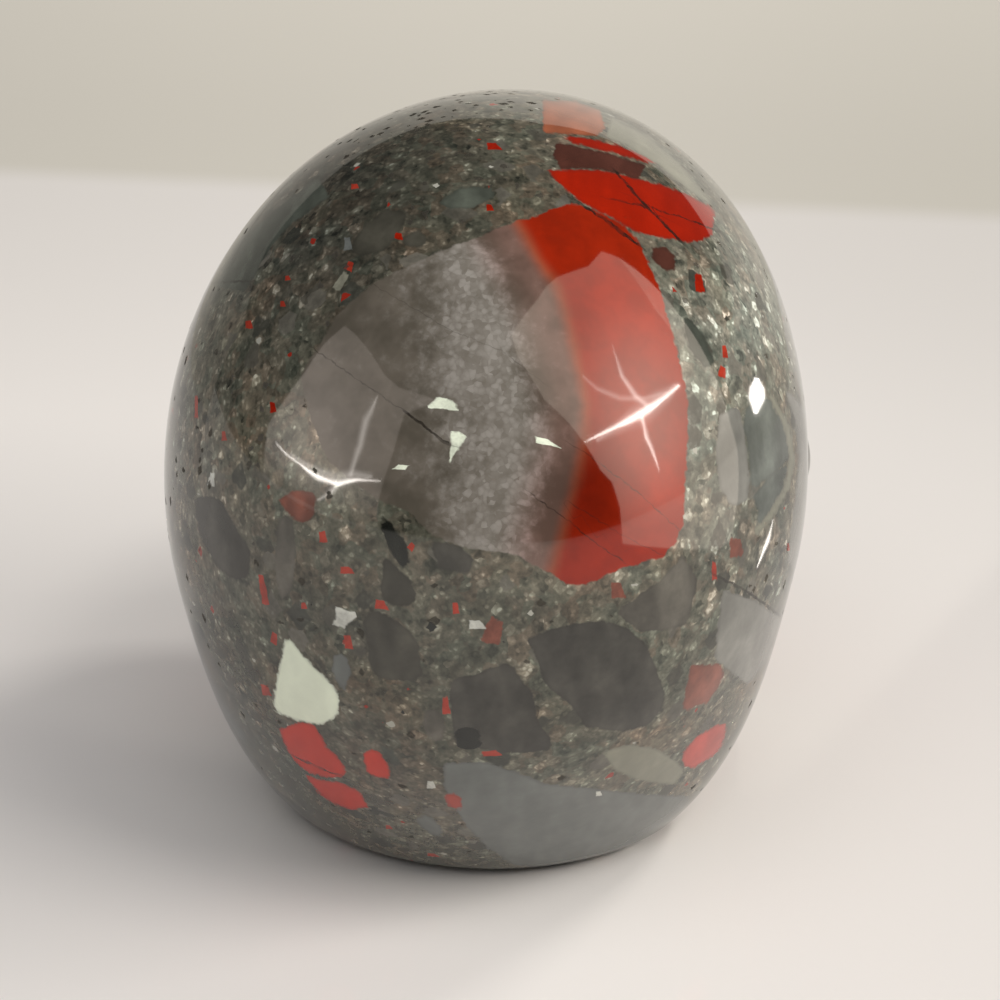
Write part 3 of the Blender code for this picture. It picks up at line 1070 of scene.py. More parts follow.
class Wiring:
    """Adds nodes to one node tree and joins them."""

    def __init__(self, tree: bpy.types.NodeTree) -> None:
        """Start from an empty tree."""
        self.tree = tree
        tree.nodes.clear()

    def add(
        self, kind: str, inputs: dict[str | int, Input] | None = None, **settings: object
    ) -> bpy.types.Node:
        """Add a node, set its properties, and set or join its inputs.

        Args:
            kind: The node's type name.
            inputs: Values or sockets for its inputs, by name or place.
            settings: Properties of the node.

        Returns:
            The new node.
        """
        node = self.tree.nodes.new(kind)
        for name, value in settings.items():
            setattr(node, name, value)
        for key, value in (inputs or {}).items():
            if isinstance(value, bpy.types.NodeSocket):
                self.tree.links.new(value, node.inputs[key])
            else:
                node.inputs[key].default_value = value
        return node

    def maths(self, operation: str, first: Input, second: Input = 0.0) -> Socket:
        """One Math node's result."""
        return self.add("ShaderNodeMath", {0: first, 1: second}, operation=operation).outputs[0]

    def product(self, first: Input, *others: Input) -> Socket:
        """All values multiplied."""
        for other in others:
            first = self.maths("MULTIPLY", first, other)
        return first

    def scaled(self, place: Socket, by: Input) -> Socket:
        """A vector made longer or shorter."""
        return self.add("ShaderNodeVectorMath", {0: place, "Scale": by}, operation="SCALE").outputs[0]

    def parts(self, colour: Socket) -> bpy.types.Node:
        """A colour's three values apart."""
        return self.add("ShaderNodeSeparateColor", {0: colour})

    def ramp(self, value: Input, low: float, high: float, start: float = 0.0, end: float = 1.0) -> Socket:
        """A smooth change from start to end while the value runs from low to high."""
        node = self.add(
            "ShaderNodeMapRange",
            {"Value": value, "From Min": low, "From Max": high, "To Min": start, "To Max": end},
            interpolation_type="SMOOTHSTEP",
        )
        return node.outputs[0]

    def mix(self, share: Input, first: Input, second: Input, blend_type: str = "MIX") -> Socket:
        """Two colours mixed by a share."""
        node = self.add(
            "ShaderNodeMix",
            {0: share, 6: with_alpha(first), 7: with_alpha(second)},
            data_type="RGBA",
            blend_type=blend_type,
        )
        return node.outputs[2]

    def times(self, first: Input, second: Input) -> Socket:
        """One colour multiplied by another."""
        return self.mix(1.0, first, second, "MULTIPLY")

    def grey(self, value: Input) -> Socket:
        """A grey colour of the given strength."""
        return self.add("ShaderNodeCombineColor", {0: value, 1: value, 2: value}).outputs[0]

    def stored(self, name: str, output: str = "Fac") -> Socket:
        """An attribute of the surface."""
        return self.add("ShaderNodeAttribute", attribute_name=name).outputs[output]

    def noise(self, at: Socket, size: float, detail: float = 2.0, rough: float = 0.5) -> bpy.types.Node:
        """Soft noise whose features are about as large as the given size in millimetres."""
        inputs = {"Vector": at, "Scale": 1 / size, "Detail": detail, "Roughness": rough}
        return self.add("ShaderNodeTexNoise", inputs)

    def cells(self, at: Socket, size: float, metric: str = "EUCLIDEAN") -> bpy.types.Node:
        """Random cells about as large as the given size in millimetres."""
        return self.add("ShaderNodeTexVoronoi", {"Vector": at, "Scale": 1 / size}, distance=metric)

    def palette(self, value: Socket, stops: Stops, stepped: bool = False) -> Socket:
        """A colour looked up along a row of stops."""
        node = self.add("ShaderNodeValToRGB", {0: value})
        ramp = node.color_ramp
        ramp.interpolation = "CONSTANT" if stepped else "LINEAR"
        ramp.elements[0].position = stops[0][0]
        ramp.elements[0].color = with_alpha(stops[0][1])
        ramp.elements[1].position = stops[-1][0]
        ramp.elements[1].color = with_alpha(stops[-1][1])
        for position, colour in stops[1:-1]:
            ramp.elements.new(position).color = with_alpha(colour)
        return node.outputs[0]


def with_alpha(colour: Input) -> Input:
    """A colour with full opacity added, or a socket as it is."""
    if isinstance(colour, tuple) and len(colour) == 3:
        return (*colour, 1.0)
    return colour


# The stone's finish


GRAIN_STOPS: Stops = (
    (0.00, (0.026, 0.026, 0.021)),
    (0.20, (0.055, 0.053, 0.042)),
    (0.38, (0.092, 0.085, 0.067)),
    (0.54, (0.130, 0.118, 0.093)),
    (0.68, (0.182, 0.164, 0.130)),
    (0.82, (0.275, 0.252, 0.204)),
    (0.96, (0.480, 0.455, 0.390)),
)
GRAIN_TINTS: Stops = (
    (0.0, (0.91, 1.01, 0.97)),
    (0.35, (0.98, 1.00, 0.95)),
    (0.65, (1.02, 0.99, 0.95)),
    (1.0, (1.12, 0.96, 0.88)),
)
SPLINTER_STOPS: Stops = (
    (0.0, (0.028, 0.032, 0.026)),
    (0.5, (0.070, 0.066, 0.052)),
    (1.0, (0.170, 0.158, 0.130)),
)
SPECK_STOPS: Stops = (
    (0.000, (0.0, 0.0, 0.0)),
    (0.935, (0.300, 0.024, 0.012)),
    (0.965, (0.420, 0.410, 0.350)),
    (0.985, (0.014, 0.016, 0.013)),
)


@dataclass(frozen=True)
class StoneFields:
    """Places and soft noises that several parts of the stone's pattern share, in millimetres."""

    at: Socket
    warped: Socket
    cloud: Socket
    haze: Socket
    drift: Socket
    wander: Socket
    grains: bpy.types.Node
    grain_pick: bpy.types.Node
    stones: bpy.types.Node
    stone_pick: bpy.types.Node


@dataclass(frozen=True)
class Unevenness:
    """The sizes of the stone's soft noises and grains, and how far its pattern is bent."""

    bend_size: float = 3.0
    bend_reach: float = 0.7
    fine_bend_size: float = 0.55
    fine_bend_reach: float = 0.34
    grain_size: float = 0.40
    stone_size: float = 1.02
    cloud_size: float = 1.0
    haze_size: float = 3.2
    drift_size: float = 6.5
    wander_size: float = 0.75

    def fields(self, wiring: Wiring) -> StoneFields:
        """Object coordinates in millimetres, bent so that nothing runs straight, and shared noises."""
        place = wiring.add("ShaderNodeTexCoord").outputs["Object"]
        scaled = wiring.scaled(place, 1 / MM)
        at = self.bent(wiring, scaled, self.bend_size, self.bend_reach)
        warped = self.bent(wiring, at, self.fine_bend_size, self.fine_bend_reach)
        grains = wiring.cells(warped, self.grain_size)
        stones = wiring.cells(warped, self.stone_size, metric="MANHATTAN")
        return StoneFields(
            at=at,
            warped=warped,
            cloud=wiring.noise(at, self.cloud_size, detail=3.0, rough=0.66).outputs[0],
            haze=wiring.noise(at, self.haze_size, detail=3.0, rough=0.58).outputs[0],
            drift=wiring.noise(at, self.drift_size, detail=1.0).outputs[0],
            wander=wiring.noise(at, self.wander_size, detail=2.0, rough=0.6).outputs[0],
            grains=grains,
            grain_pick=wiring.parts(grains.outputs["Color"]),
            stones=stones,
            stone_pick=wiring.parts(stones.outputs["Color"]),
        )

    def bent(self, wiring: Wiring, place: Socket, size: float, reach: float) -> Socket:
        """A place shifted by soft noise of the given feature size, by up to about the given reach."""
        bend = wiring.noise(place, size, detail=1.0)
        shift = wiring.scaled(bend.outputs["Color"], reach)
        return wiring.add("ShaderNodeVectorMath", {0: place, 1: shift}).outputs[0]


@dataclass(frozen=True)
class GroundMass:
    """The sandy ground mass between the fragments, with its splinters, specks and pits."""

    grain_core: Span = (0.62, 0.22)
    stone_core: Span = (0.74, 0.52)
    grain_middle: float = 0.38
    grain_contrast: float = 0.50
    stone_middle: float = 0.44
    stone_contrast: Span = (0.46, 0.80)
    base_level: Ramp = (0.22, 0.78, 0.19, 0.69)
    tint_strength: float = 0.8
    warmth: Stops = (
        (0.34, (0.94, 1.01, 0.98)),
        (0.52, (0.98, 1.0, 0.97)),
        (0.68, (1.07, 0.99, 0.90)),
    )
    cool_tint: Colour = (0.91, 1.0, 1.10)
    haze_gain: Ramp = (0.3, 0.7, 0.84, 1.22)
    splinter_size: float = 2.3
    splinter_least: float = 0.66
    splinter_edge: Span = (0.62, 0.50)
    splinter_gain: Ramp = (0.25, 0.75, 0.80, 1.25)
    splinter_cover: float = 0.85
    speck_growth: float = 0.36
    speck_edge: Span = (0.14, 0.05)
    pit_spacing: float = 0.84
    pit_radius: Span = (0.16, 0.62)
    pit_edge: Span = (0.0, 0.12)
    pit_margin: Span = (-0.1, 0.25)

    def paint(self, wiring: Wiring, fields: StoneFields) -> Socket:
        """The colour of the ground mass."""
        coolness = wiring.stored("coolness")
        level = wiring.ramp(fields.cloud, *self.base_level)
        level = wiring.maths("ADD", level, self.grains(wiring, fields))
        level = wiring.maths("ADD", level, self.stones(wiring, fields, coolness))
        colour = wiring.palette(level, GRAIN_STOPS)
        tint = wiring.palette(fields.stone_pick.outputs[1], GRAIN_TINTS)
        colour = wiring.mix(self.tint_strength, colour, tint, "MULTIPLY")
        colour = wiring.times(colour, wiring.palette(fields.drift, self.warmth))
        colour = wiring.mix(coolness, colour, wiring.times(colour, self.cool_tint))
        # Partly the ground's own brightness, partly painted light and shade
        gain = wiring.product(wiring.ramp(fields.haze, *self.haze_gain), wiring.stored("tone_and_painted_light"))
        colour = wiring.times(colour, wiring.grey(gain))
        return self.specks(wiring, fields, self.splinters(wiring, fields, colour))

    def grains(self, wiring: Wiring, fields: StoneFields) -> Socket:
        """How much lighter or darker the fine grains are."""
        core = wiring.ramp(fields.grains.outputs["Distance"], *self.grain_core)
        change = wiring.maths("SUBTRACT", fields.grain_pick.outputs[0], self.grain_middle)
        return wiring.product(change, core, self.grain_contrast)

    def stones(self, wiring: Wiring, fields: StoneFields, coolness: Socket) -> Socket:
        """How much lighter or darker the coarse grains are, more so in the cool stretches."""
        core = wiring.ramp(fields.stones.outputs["Distance"], *self.stone_core)
        change = wiring.maths("SUBTRACT", fields.stone_pick.outputs[0], self.stone_middle)
        return wiring.product(change, core, wiring.ramp(coolness, 0.0, 1.0, *self.stone_contrast))

    def splinters(self, wiring: Wiring, fields: StoneFields, colour: Socket) -> Socket:
        """Scattered splinters of smooth grey rock, a few millimetres long."""
        cells = wiring.cells(fields.warped, self.splinter_size, metric="MANHATTAN")
        pick = wiring.parts(cells.outputs["Color"])
        chosen = wiring.maths("GREATER_THAN", pick.outputs[0], self.splinter_least)
        inner = wiring.ramp(cells.outputs["Distance"], *self.splinter_edge)
        tint = wiring.palette(pick.outputs[1], SPLINTER_STOPS)
        tint = wiring.times(tint, wiring.grey(wiring.ramp(fields.cloud, *self.splinter_gain)))
        return wiring.mix(wiring.product(chosen, inner, self.splinter_cover), colour, tint)

    def specks(self, wiring: Wiring, fields: StoneFields, colour: Socket) -> Socket:
        """Scattered small red, white and black specks of different sizes."""
        pick = fields.stone_pick.outputs[2]
        tint = wiring.palette(pick, SPECK_STOPS, stepped=True)
        chosen = wiring.maths("GREATER_THAN", pick, SPECK_STOPS[1][0])
        size = wiring.product(fields.stone_pick.outputs[0], self.speck_growth)
        distance = wiring.maths("SUBTRACT", fields.stones.outputs["Distance"], size)
        return wiring.mix(wiring.product(chosen, wiring.ramp(distance, *self.speck_edge)), colour, tint)

    def pits(self, wiring: Wiring, fields: StoneFields) -> Socket:
        """One inside the small open pits of the ground mass, which are dull and get painted shade."""
        holes = wiring.cells(fields.warped, self.pit_spacing, metric="MANHATTAN")
        pick = wiring.parts(holes.outputs["Color"])
        chosen = wiring.maths("LESS_THAN", pick.outputs[0], wiring.stored("pitting"))
        radius = wiring.ramp(pick.outputs[1], 0.0, 1.0, *self.pit_radius)
        depth = wiring.maths("SUBTRACT", radius, holes.outputs["Distance"])
        hole = wiring.ramp(depth, *self.pit_edge)
        return wiring.product(chosen, hole, wiring.ramp(wiring.stored("open_ground"), *self.pit_margin))


@dataclass(frozen=True)
class Outline:
    """How the edges of fragments are drawn: slightly ragged and sharp."""

    wander: float = 0.46
    soft: float = 0.09

    def inside(self, wiring: Wiring, fields: StoneFields, name: str) -> Socket:
        """One inside the outlines of a layer."""
        shift = wiring.product(wiring.maths("SUBTRACT", fields.wander, 0.5), self.wander)
        return wiring.ramp(wiring.maths("ADD", wiring.stored(name), shift), self.soft, -self.soft)


@dataclass(frozen=True)
class FragmentFinish:
    """Angular pieces of rock with soft sweeps of light and dark through them."""

    outline: Outline = Outline()
    sweep_turn: tuple[float, float, float] = (0.3, 0.9, 0.2)
    sweep_stretch: tuple[float, float, float] = (1.0, 0.22, 0.35)
    sweep_size: float = 1.5
    sweep_gain: Ramp = (0.32, 0.72, 0.80, 1.45)
    haze_gain: Ramp = (0.28, 0.72, 0.78, 1.26)
    cloud_gain: Ramp = (0.25, 0.75, 0.88, 1.12)
    rim_shade: Ramp = (-0.22, 0.0, 0.0, 0.22)
    rim_colour: Colour = (0.020, 0.018, 0.014)

    def sweeps(self, wiring: Wiring, fields: StoneFields) -> Socket:
        """Long soft lighter and darker sweeps that run through the fragments."""
        stretched = wiring.add(
            "ShaderNodeMapping",
            {"Vector": fields.at, "Rotation": self.sweep_turn, "Scale": self.sweep_stretch},
        )
        noise = wiring.noise(stretched.outputs[0], self.sweep_size, detail=1.0)
        return wiring.ramp(noise.outputs[0], *self.sweep_gain)

    def paint(self, wiring: Wiring, fields: StoneFields, colour: Socket) -> Socket:
        """Lay the fragments of every layer over the ground mass."""
        haze = wiring.ramp(fields.haze, *self.haze_gain)
        cloud = wiring.ramp(fields.cloud, *self.cloud_gain)
        shading = wiring.grey(wiring.product(self.sweeps(wiring, fields), haze, cloud))
        for number in range(FRAGMENT_LAYERS):
            mask = self.outline.inside(wiring, fields, f"fragment_{number}")
            rock = wiring.stored(f"rock_{number}", "Color")
            rock = wiring.mix(wiring.stored(f"rock_{number}", "Alpha"), rock, shading, "MULTIPLY")
            rim = wiring.ramp(wiring.stored(f"fragment_{number}"), *self.rim_shade)
            colour = wiring.mix(mask, colour, wiring.mix(rim, rock, self.rim_colour))
        return colour


@dataclass(frozen=True)
class AgateFinish:
    """The large fragment: smoky agate, sugary quartz and a broad band of red jasper."""

    outline: Outline = Outline()
    shade_haze: Span = (0.34, 0.64)
    patchiness: float = 1.1
    clumping: float = 1.2
    sugar_cover: Ramp = (0.05, 1.00, 0.0, 0.95)
    crystal_core: Ramp = (0.95, 0.15, 0.35, 1.0)
    glitter: Span = (-0.15, 1.05)
    halo_tint: Colour = (1.22, 0.84, 0.84)
    red_wander: float = 0.30
    rust_to_red: Span = (0.50, 1.0)
    red_edge: Span = (0.05, 0.72)
    red_streaks: Ramp = (0.35, 0.65, 0.86, 1.12)

    def sugar(self, wiring: Wiring, fields: StoneFields, agate: Socket) -> Socket:
        """The agate with patches of pale sugary crystals."""
        clump = wiring.maths("SUBTRACT", fields.cloud, 0.5)
        patchy = wiring.product(wiring.maths("SUBTRACT", fields.haze, 0.5), self.patchiness)
        spread = wiring.maths("ADD", wiring.stored("sugar_share"), wiring.product(clump, self.clumping))
        cover = wiring.ramp(wiring.maths("ADD", spread, patchy), *self.sugar_cover)
        crystal = wiring.ramp(fields.grains.outputs["Distance"], *self.crystal_core)
        crystal = wiring.product(crystal, fields.grain_pick.outputs[1])
        crystal = wiring.maths("ADD", wiring.maths("ADD", crystal, patchy), clump)
        glitter = wiring.ramp(crystal, *self.glitter)
        return wiring.mix(cover, agate, wiring.mix(glitter, Rock.SUGAR_SHADE.value, Rock.SUGAR_QUARTZ.value))

    def red(self, wiring: Wiring, fields: StoneFields, agate: Socket) -> Socket:
        """The agate with the red band over it, rusty at its left edge."""
        agate = wiring.times(agate, wiring.mix(wiring.stored("red_halo"), WHITE, self.halo_tint))
        ragged = wiring.product(wiring.maths("SUBTRACT", fields.haze, 0.5), self.red_wander)
        share = wiring.maths("ADD", wiring.stored("red_share"), ragged)
        red = wiring.mix(wiring.ramp(share, *self.rust_to_red), Rock.RUSTY_AGATE.value, Rock.JASPER.value)
        red = wiring.times(red, wiring.grey(wiring.ramp(fields.haze, *self.red_streaks)))
        return wiring.mix(wiring.ramp(share, *self.red_edge), agate, red)

    def paint(self, wiring: Wiring, fields: StoneFields, colour: Socket) -> Socket:
        """Lay the large fragment over the rest."""
        shade = wiring.ramp(fields.haze, *self.shade_haze)
        agate = wiring.mix(shade, Rock.AGATE_SHADE.value, Rock.AGATE.value)
        agate = self.red(wiring, fields, self.sugar(wiring, fields, agate))
        # Painted light and shade: the agate made darker or lighter by stretches
        agate = wiring.times(agate, wiring.grey(wiring.stored("agate_painted_light")))
        return wiring.mix(self.outline.inside(wiring, fields, "agate"), colour, agate)


@dataclass(frozen=True)
class ChipFinish:
    """Small chips, each a four-sided shape with a taper and a slant of its own."""

    raggedness: float = 0.9
    edge: Span = (0.10, -0.14)
    cloud_gain: Ramp = (0.25, 0.75, 0.72, 1.25)

    def shape(self, wiring: Wiring, offset: bpy.types.Node, number: int) -> Socket:
        """How far a point lies outside the nearest chip of a layer, in half sizes of the chip."""
        outline = wiring.add("ShaderNodeSeparateXYZ", {0: wiring.stored(f"chip_outline_{number}", "Vector")})
        taper, slant = outline.outputs[0], outline.outputs[1]
        across = wiring.maths("ADD", offset.outputs[0], wiring.product(slant, offset.outputs[1]))
        leaning = wiring.product(taper, offset.outputs[1])
        narrowing = wiring.maths("ADD", wiring.maths("ABSOLUTE", taper), leaning)
        wide = wiring.maths("SUBTRACT", 1.0, wiring.product(narrowing, 0.5))
        beyond = wiring.maths("SUBTRACT", wiring.maths("ABSOLUTE", across), wide)
        above = wiring.maths("SUBTRACT", wiring.maths("ABSOLUTE", offset.outputs[1]), 1.0)
        return wiring.maths("MAXIMUM", beyond, above)

    def paint(self, wiring: Wiring, fields: StoneFields, colour: Socket) -> Socket:
        """Lay the chips of every layer over the rest."""
        ragged = wiring.product(wiring.maths("SUBTRACT", fields.wander, 0.5), self.raggedness)
        gain = wiring.grey(wiring.ramp(fields.cloud, *self.cloud_gain))
        for number in range(CHIP_LAYERS):
            offset = wiring.add("ShaderNodeSeparateXYZ", {0: wiring.stored(f"chip_{number}", "Vector")})
            edge = wiring.maths("ADD", self.shape(wiring, offset, number), ragged)
            near = wiring.maths("LESS_THAN", offset.outputs[2], 1.0)
            mask = wiring.product(wiring.ramp(edge, *self.edge), near)
            tint = wiring.times(wiring.stored(f"chip_rock_{number}", "Color"), gain)
            colour = wiring.mix(mask, colour, tint)
        return colour


@dataclass(frozen=True)
class CrackFinish:
    """Thin dark cracks, wider where they are stronger."""

    wander: float = 0.42
    widening: float = 0.12
    edge: Span = (0.050, -0.015)
    broken: Ramp = (0.36, 0.60, 0.45, 1.0)
    colour: Colour = (0.014, 0.011, 0.008)

    def paint(self, wiring: Wiring, fields: StoneFields, colour: Socket) -> Socket:
        """Draw the cracks over everything."""
        shift = wiring.product(wiring.maths("SUBTRACT", fields.wander, 0.5), self.wander)
        side = wiring.maths("ABSOLUTE", wiring.maths("ADD", wiring.stored("crack_side"), shift))
        strength = wiring.stored("crack_strength")
        half = wiring.product(wiring.maths("POWER", strength, 3.0), self.widening)
        line = wiring.ramp(wiring.maths("SUBTRACT", side, half), *self.edge)
        mask = wiring.product(line, wiring.ramp(fields.cloud, *self.broken), strength)
        return wiring.mix(mask, colour, self.colour)


@dataclass(frozen=True)
class Bloodstone:
    """The polished breccia, painted in the order in which its parts lie over each other."""

    unevenness: Unevenness = Unevenness()
    ground: GroundMass = GroundMass()
    fragments: FragmentFinish = FragmentFinish()
    agate: AgateFinish = AgateFinish()
    chips: ChipFinish = ChipFinish()
    cracks: CrackFinish = CrackFinish()
    roughness: float = 0.05
    ior: float = 1.54
    pit_roughness: float = 0.7
    pit_shade_strength: float = 0.8
    pit_shade_colour: Colour = (0.030, 0.027, 0.021)

    def build(self) -> bpy.types.Material:
        """Make the material."""
        material = bpy.data.materials.new("bloodstone")
        material.use_nodes = True
        wiring = Wiring(material.node_tree)
        fields = self.unevenness.fields(wiring)
        colour = self.ground.paint(wiring, fields)
        for layer in (self.fragments, self.agate, self.chips, self.cracks):
            colour = layer.paint(wiring, fields, colour)
        pits = self.ground.pits(wiring, fields)
        # Painted shade: pits darkened in colour in place of real hollows
        colour = wiring.mix(wiring.product(pits, self.pit_shade_strength), colour, self.pit_shade_colour)
        roughness = wiring.ramp(pits, 0.0, 1.0, self.roughness, self.pit_roughness)
        surface = wiring.add(
            "ShaderNodeBsdfPrincipled", {"Base Color": colour, "Roughness": roughness, "IOR": self.ior}
        )
        wiring.add("ShaderNodeOutputMaterial", {"Surface": surface.outputs[0]})
        return material


# The carving


@dataclass(frozen=True)
class HandPolish:
    """Gentle unevenness left by hand polishing, as a Geometry Nodes modifier."""

    wave_size: float = 0.016
    wave_depth: float = 0.00022
    keep_low: float = 0.0005
    full_from: float = 0.0060
    seed: float = 3.0

    def tree(self, material: bpy.types.Material) -> bpy.types.NodeTree:
        """Build the node tree that moves the surface along its normals by soft noise."""
        tree = bpy.data.node_groups.new("hand_polish", "GeometryNodeTree")
        tree.interface.new_socket("Geometry", in_out="INPUT", socket_type="NodeSocketGeometry")
        for name in ("Wave Size", "Wave Depth", "Seed"):
            tree.interface.new_socket(name, in_out="INPUT", socket_type="NodeSocketFloat")
        tree.interface.new_socket("Geometry", in_out="OUTPUT", socket_type="NodeSocketGeometry")
        wiring = Wiring(tree)
        start = wiring.add("NodeGroupInput")
        place = wiring.add("GeometryNodeInputPosition").outputs[0]
        scale = wiring.maths("DIVIDE", 1.0, start.outputs["Wave Size"])
        noise = wiring.add(
            "ShaderNodeTexNoise",
            {"Vector": place, "W": start.outputs["Seed"], "Scale": scale, "Detail": 1.0},
            noise_dimensions="4D",
        )
        height = wiring.add("ShaderNodeSeparateXYZ", {0: place}).outputs[2]
        above_base = wiring.ramp(height, self.keep_low, self.full_from)
        lift = wiring.maths("SUBTRACT", noise.outputs[0], 0.5)
        lift = wiring.product(lift, start.outputs["Wave Depth"], above_base)
        offset = wiring.scaled(wiring.add("GeometryNodeInputNormal").outputs[0], lift)
        moved = wiring.add(
            "GeometryNodeSetPosition", {"Geometry": start.outputs["Geometry"], "Offset": offset}
        )
        real = wiring.add("GeometryNodeRealizeInstances", {"Geometry": moved.outputs[0]})
        dressed = wiring.add("GeometryNodeSetMaterial", {"Geometry": real.outputs[0], "Material": material})
        wiring.add("NodeGroupOutput", {"Geometry": dressed.outputs[0]})
        return tree

    def apply(self, piece: bpy.types.Object, material: bpy.types.Material) -> bpy.types.Object:
        """Run the modifier on a piece and return its result as a plain mesh object.

        Args:
            piece: The piece to polish, which is removed.
            material: The material that the tree sets.

        Returns:
            A new object of the same name.
        """
        modifier = piece.modifiers.new("hand_polish", "NODES")
        modifier.node_group = self.tree(material)
        values = {"Wave Size": self.wave_size, "Wave Depth": self.wave_depth, "Seed": self.seed}
        for item in modifier.node_group.interface.items_tree:
            if item.name in values and item.in_out == "INPUT":
                modifier[item.identifier] = values[item.name]
        bpy.context.view_layer.update()
        evaluated = piece.evaluated_get(bpy.context.evaluated_depsgraph_get())
        mesh = bpy.data.meshes.new_from_object(evaluated)
        name = piece.name
        bpy.data.objects.remove(piece)
        finished = bpy.data.objects.new(name, mesh)
        bpy.context.collection.objects.link(finished)
        return finished


@dataclass
class SkullCarving:
    """The stone itself, from its fine mesh to its pattern and polish."""

    view: PhotoView
    divisions: int = 124
    quick_divisions: int = 90
    form: SkullForm = SkullForm()
    polish: HandPolish = HandPolish()
    finish: Bloodstone = Bloodstone()

    def directions(self, mesh: bpy.types.Mesh) -> np.ndarray:
        """Unit directions from a divided cube's vertices, evenly spread over each face."""
        corners = coordinates(mesh)
        spread = np.tan(np.clip(corners, -1, 1) * math.pi / 4)
        return spread / np.linalg.norm(spread, axis=1)[:, None]

    def rough_mesh(self) -> bpy.types.Mesh:
        """A finely divided cube drawn in onto the skull's form, fitted to the CAD node's box."""
        shaping = bmesh.new()
        bmesh.ops.create_cube(shaping, size=2.0)
        divisions = self.divisions
        bmesh.ops.subdivide_edges(
            shaping, edges=shaping.edges[:], cuts=divisions - 1, use_grid_fill=True
        )
        mesh = bpy.data.meshes.new("bloodstone_skull")
        shaping.to_mesh(mesh)
        shaping.free()
        set_coordinates(mesh, self.fitted(self.form.draw_in(self.directions(mesh))))
        return mesh

    def fitted(self, places: np.ndarray) -> np.ndarray:
        """Places moved and scaled slightly so that their box is the CAD node's box."""
        low, high = (np.array(corner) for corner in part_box(NODE))
        least = places.min(axis=0)
        scale = (high - low) / (places.max(axis=0) - least)
        return low + (places - least) * scale

    def build(self) -> bpy.types.Object:
        """Make the dressed piece."""
        material = self.finish.build()
        rough = bpy.data.objects.new("bloodstone_skull", self.rough_mesh())
        rough.data.shade_smooth()
        bpy.context.collection.objects.link(rough)
        piece = self.polish.apply(rough, material)
        places = self.fitted(coordinates(piece.data))
        places[:, 2] = np.where(places[:, 2] < self.form.base_snap * MM, 0.0, places[:, 2])
        set_coordinates(piece.data, places)
        piece.data.shade_smooth()
        Pattern(self.view, places, vertex_normals(piece.data)).store(piece.data)
        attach(piece, BODY)
        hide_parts(NODE)
        return piece


def coordinates(mesh: bpy.types.Mesh) -> np.ndarray:
    """The mesh's vertex places as an array."""
    flat = np.empty(len(mesh.vertices) * 3, dtype=np.float32)
    mesh.vertices.foreach_get("co", flat)
    return flat.reshape(-1, 3).astype(float)


def set_coordinates(mesh: bpy.types.Mesh, places: np.ndarray) -> None:
    """Move the mesh's vertices to new places."""
    mesh.vertices.foreach_set("co", places.astype(np.float32).ravel())
    mesh.update()


def vertex_normals(mesh: bpy.types.Mesh) -> np.ndarray:
    """The mesh's smooth vertex normals."""
    flat = np.empty(len(mesh.vertices) * 3, dtype=np.float32)
    mesh.vertex_normals.foreach_get("vector", flat)
    return flat.reshape(-1, 3).astype(float)


# The studio


# Between the first and the second mirror bounce of a ray
BETWEEN_MIRRORS = 1.5
# The least distance from a face's corner, in metres, when its corners' normals are averaged
NEAREST_CORNER = 1e-6


@dataclass(frozen=True)
class Reflection:
    """A soft panel of light, placed so that the stone mirrors it at these pixels."""

    name: str
    outline: Pixels
    colour: Colour
    strength: float
    far_strength: float
    bright_at: tuple[float, float]
    dim_at: tuple[float, float]
    low_fade: Ramp = (0.0, 0.17, 0.3, 1.0)
    distance: float = 1.1


RIGHT_WINDOW = Reflection(
    "right_window",
    (
        (601, 251), (587, 266), (557, 278), (546, 286), (537, 299), (523, 315), (511, 335), (517, 355),
        (531, 379), (544, 400), (572, 425), (587, 446), (602, 470), (612, 484), (618, 507), (623, 544),
        (660, 548), (700, 550), (728, 546), (738, 500), (738, 450), (730, 420), (712, 380), (690, 352),
        (671, 330), (656, 310), (641, 286), (618, 258),
    ),
    (1.0, 0.87, 0.72),
    4.9,
    1.8,
    (642, 420),
    (552, 345),
    (0.0, 0.02, 0.80, 1.0),
    0.065,
)
LEFT_WINDOW = Reflection(
    "left_window",
    (
        (345, 325), (358, 336), (372, 355), (385, 375), (400, 388), (440, 402), (405, 413), (395, 450),
        (383, 485), (378, 500), (380, 540), (395, 590), (340, 600), (290, 600), (268, 560), (262, 500),
        (263, 470), (268, 425), (285, 400), (305, 372), (325, 342),
    ),
    (1.0, 0.87, 0.78),
    2.4,
    1.10,
    (310, 455),
    (372, 345),
)


@dataclass(frozen=True)
class Glint:
    """A thin bright line of light, as the stone mirrors it: pixels and half widths."""

    name: str
    route: Pixels
    widths: tuple[float, ...]
    strength: float
    distance: float = 0.9


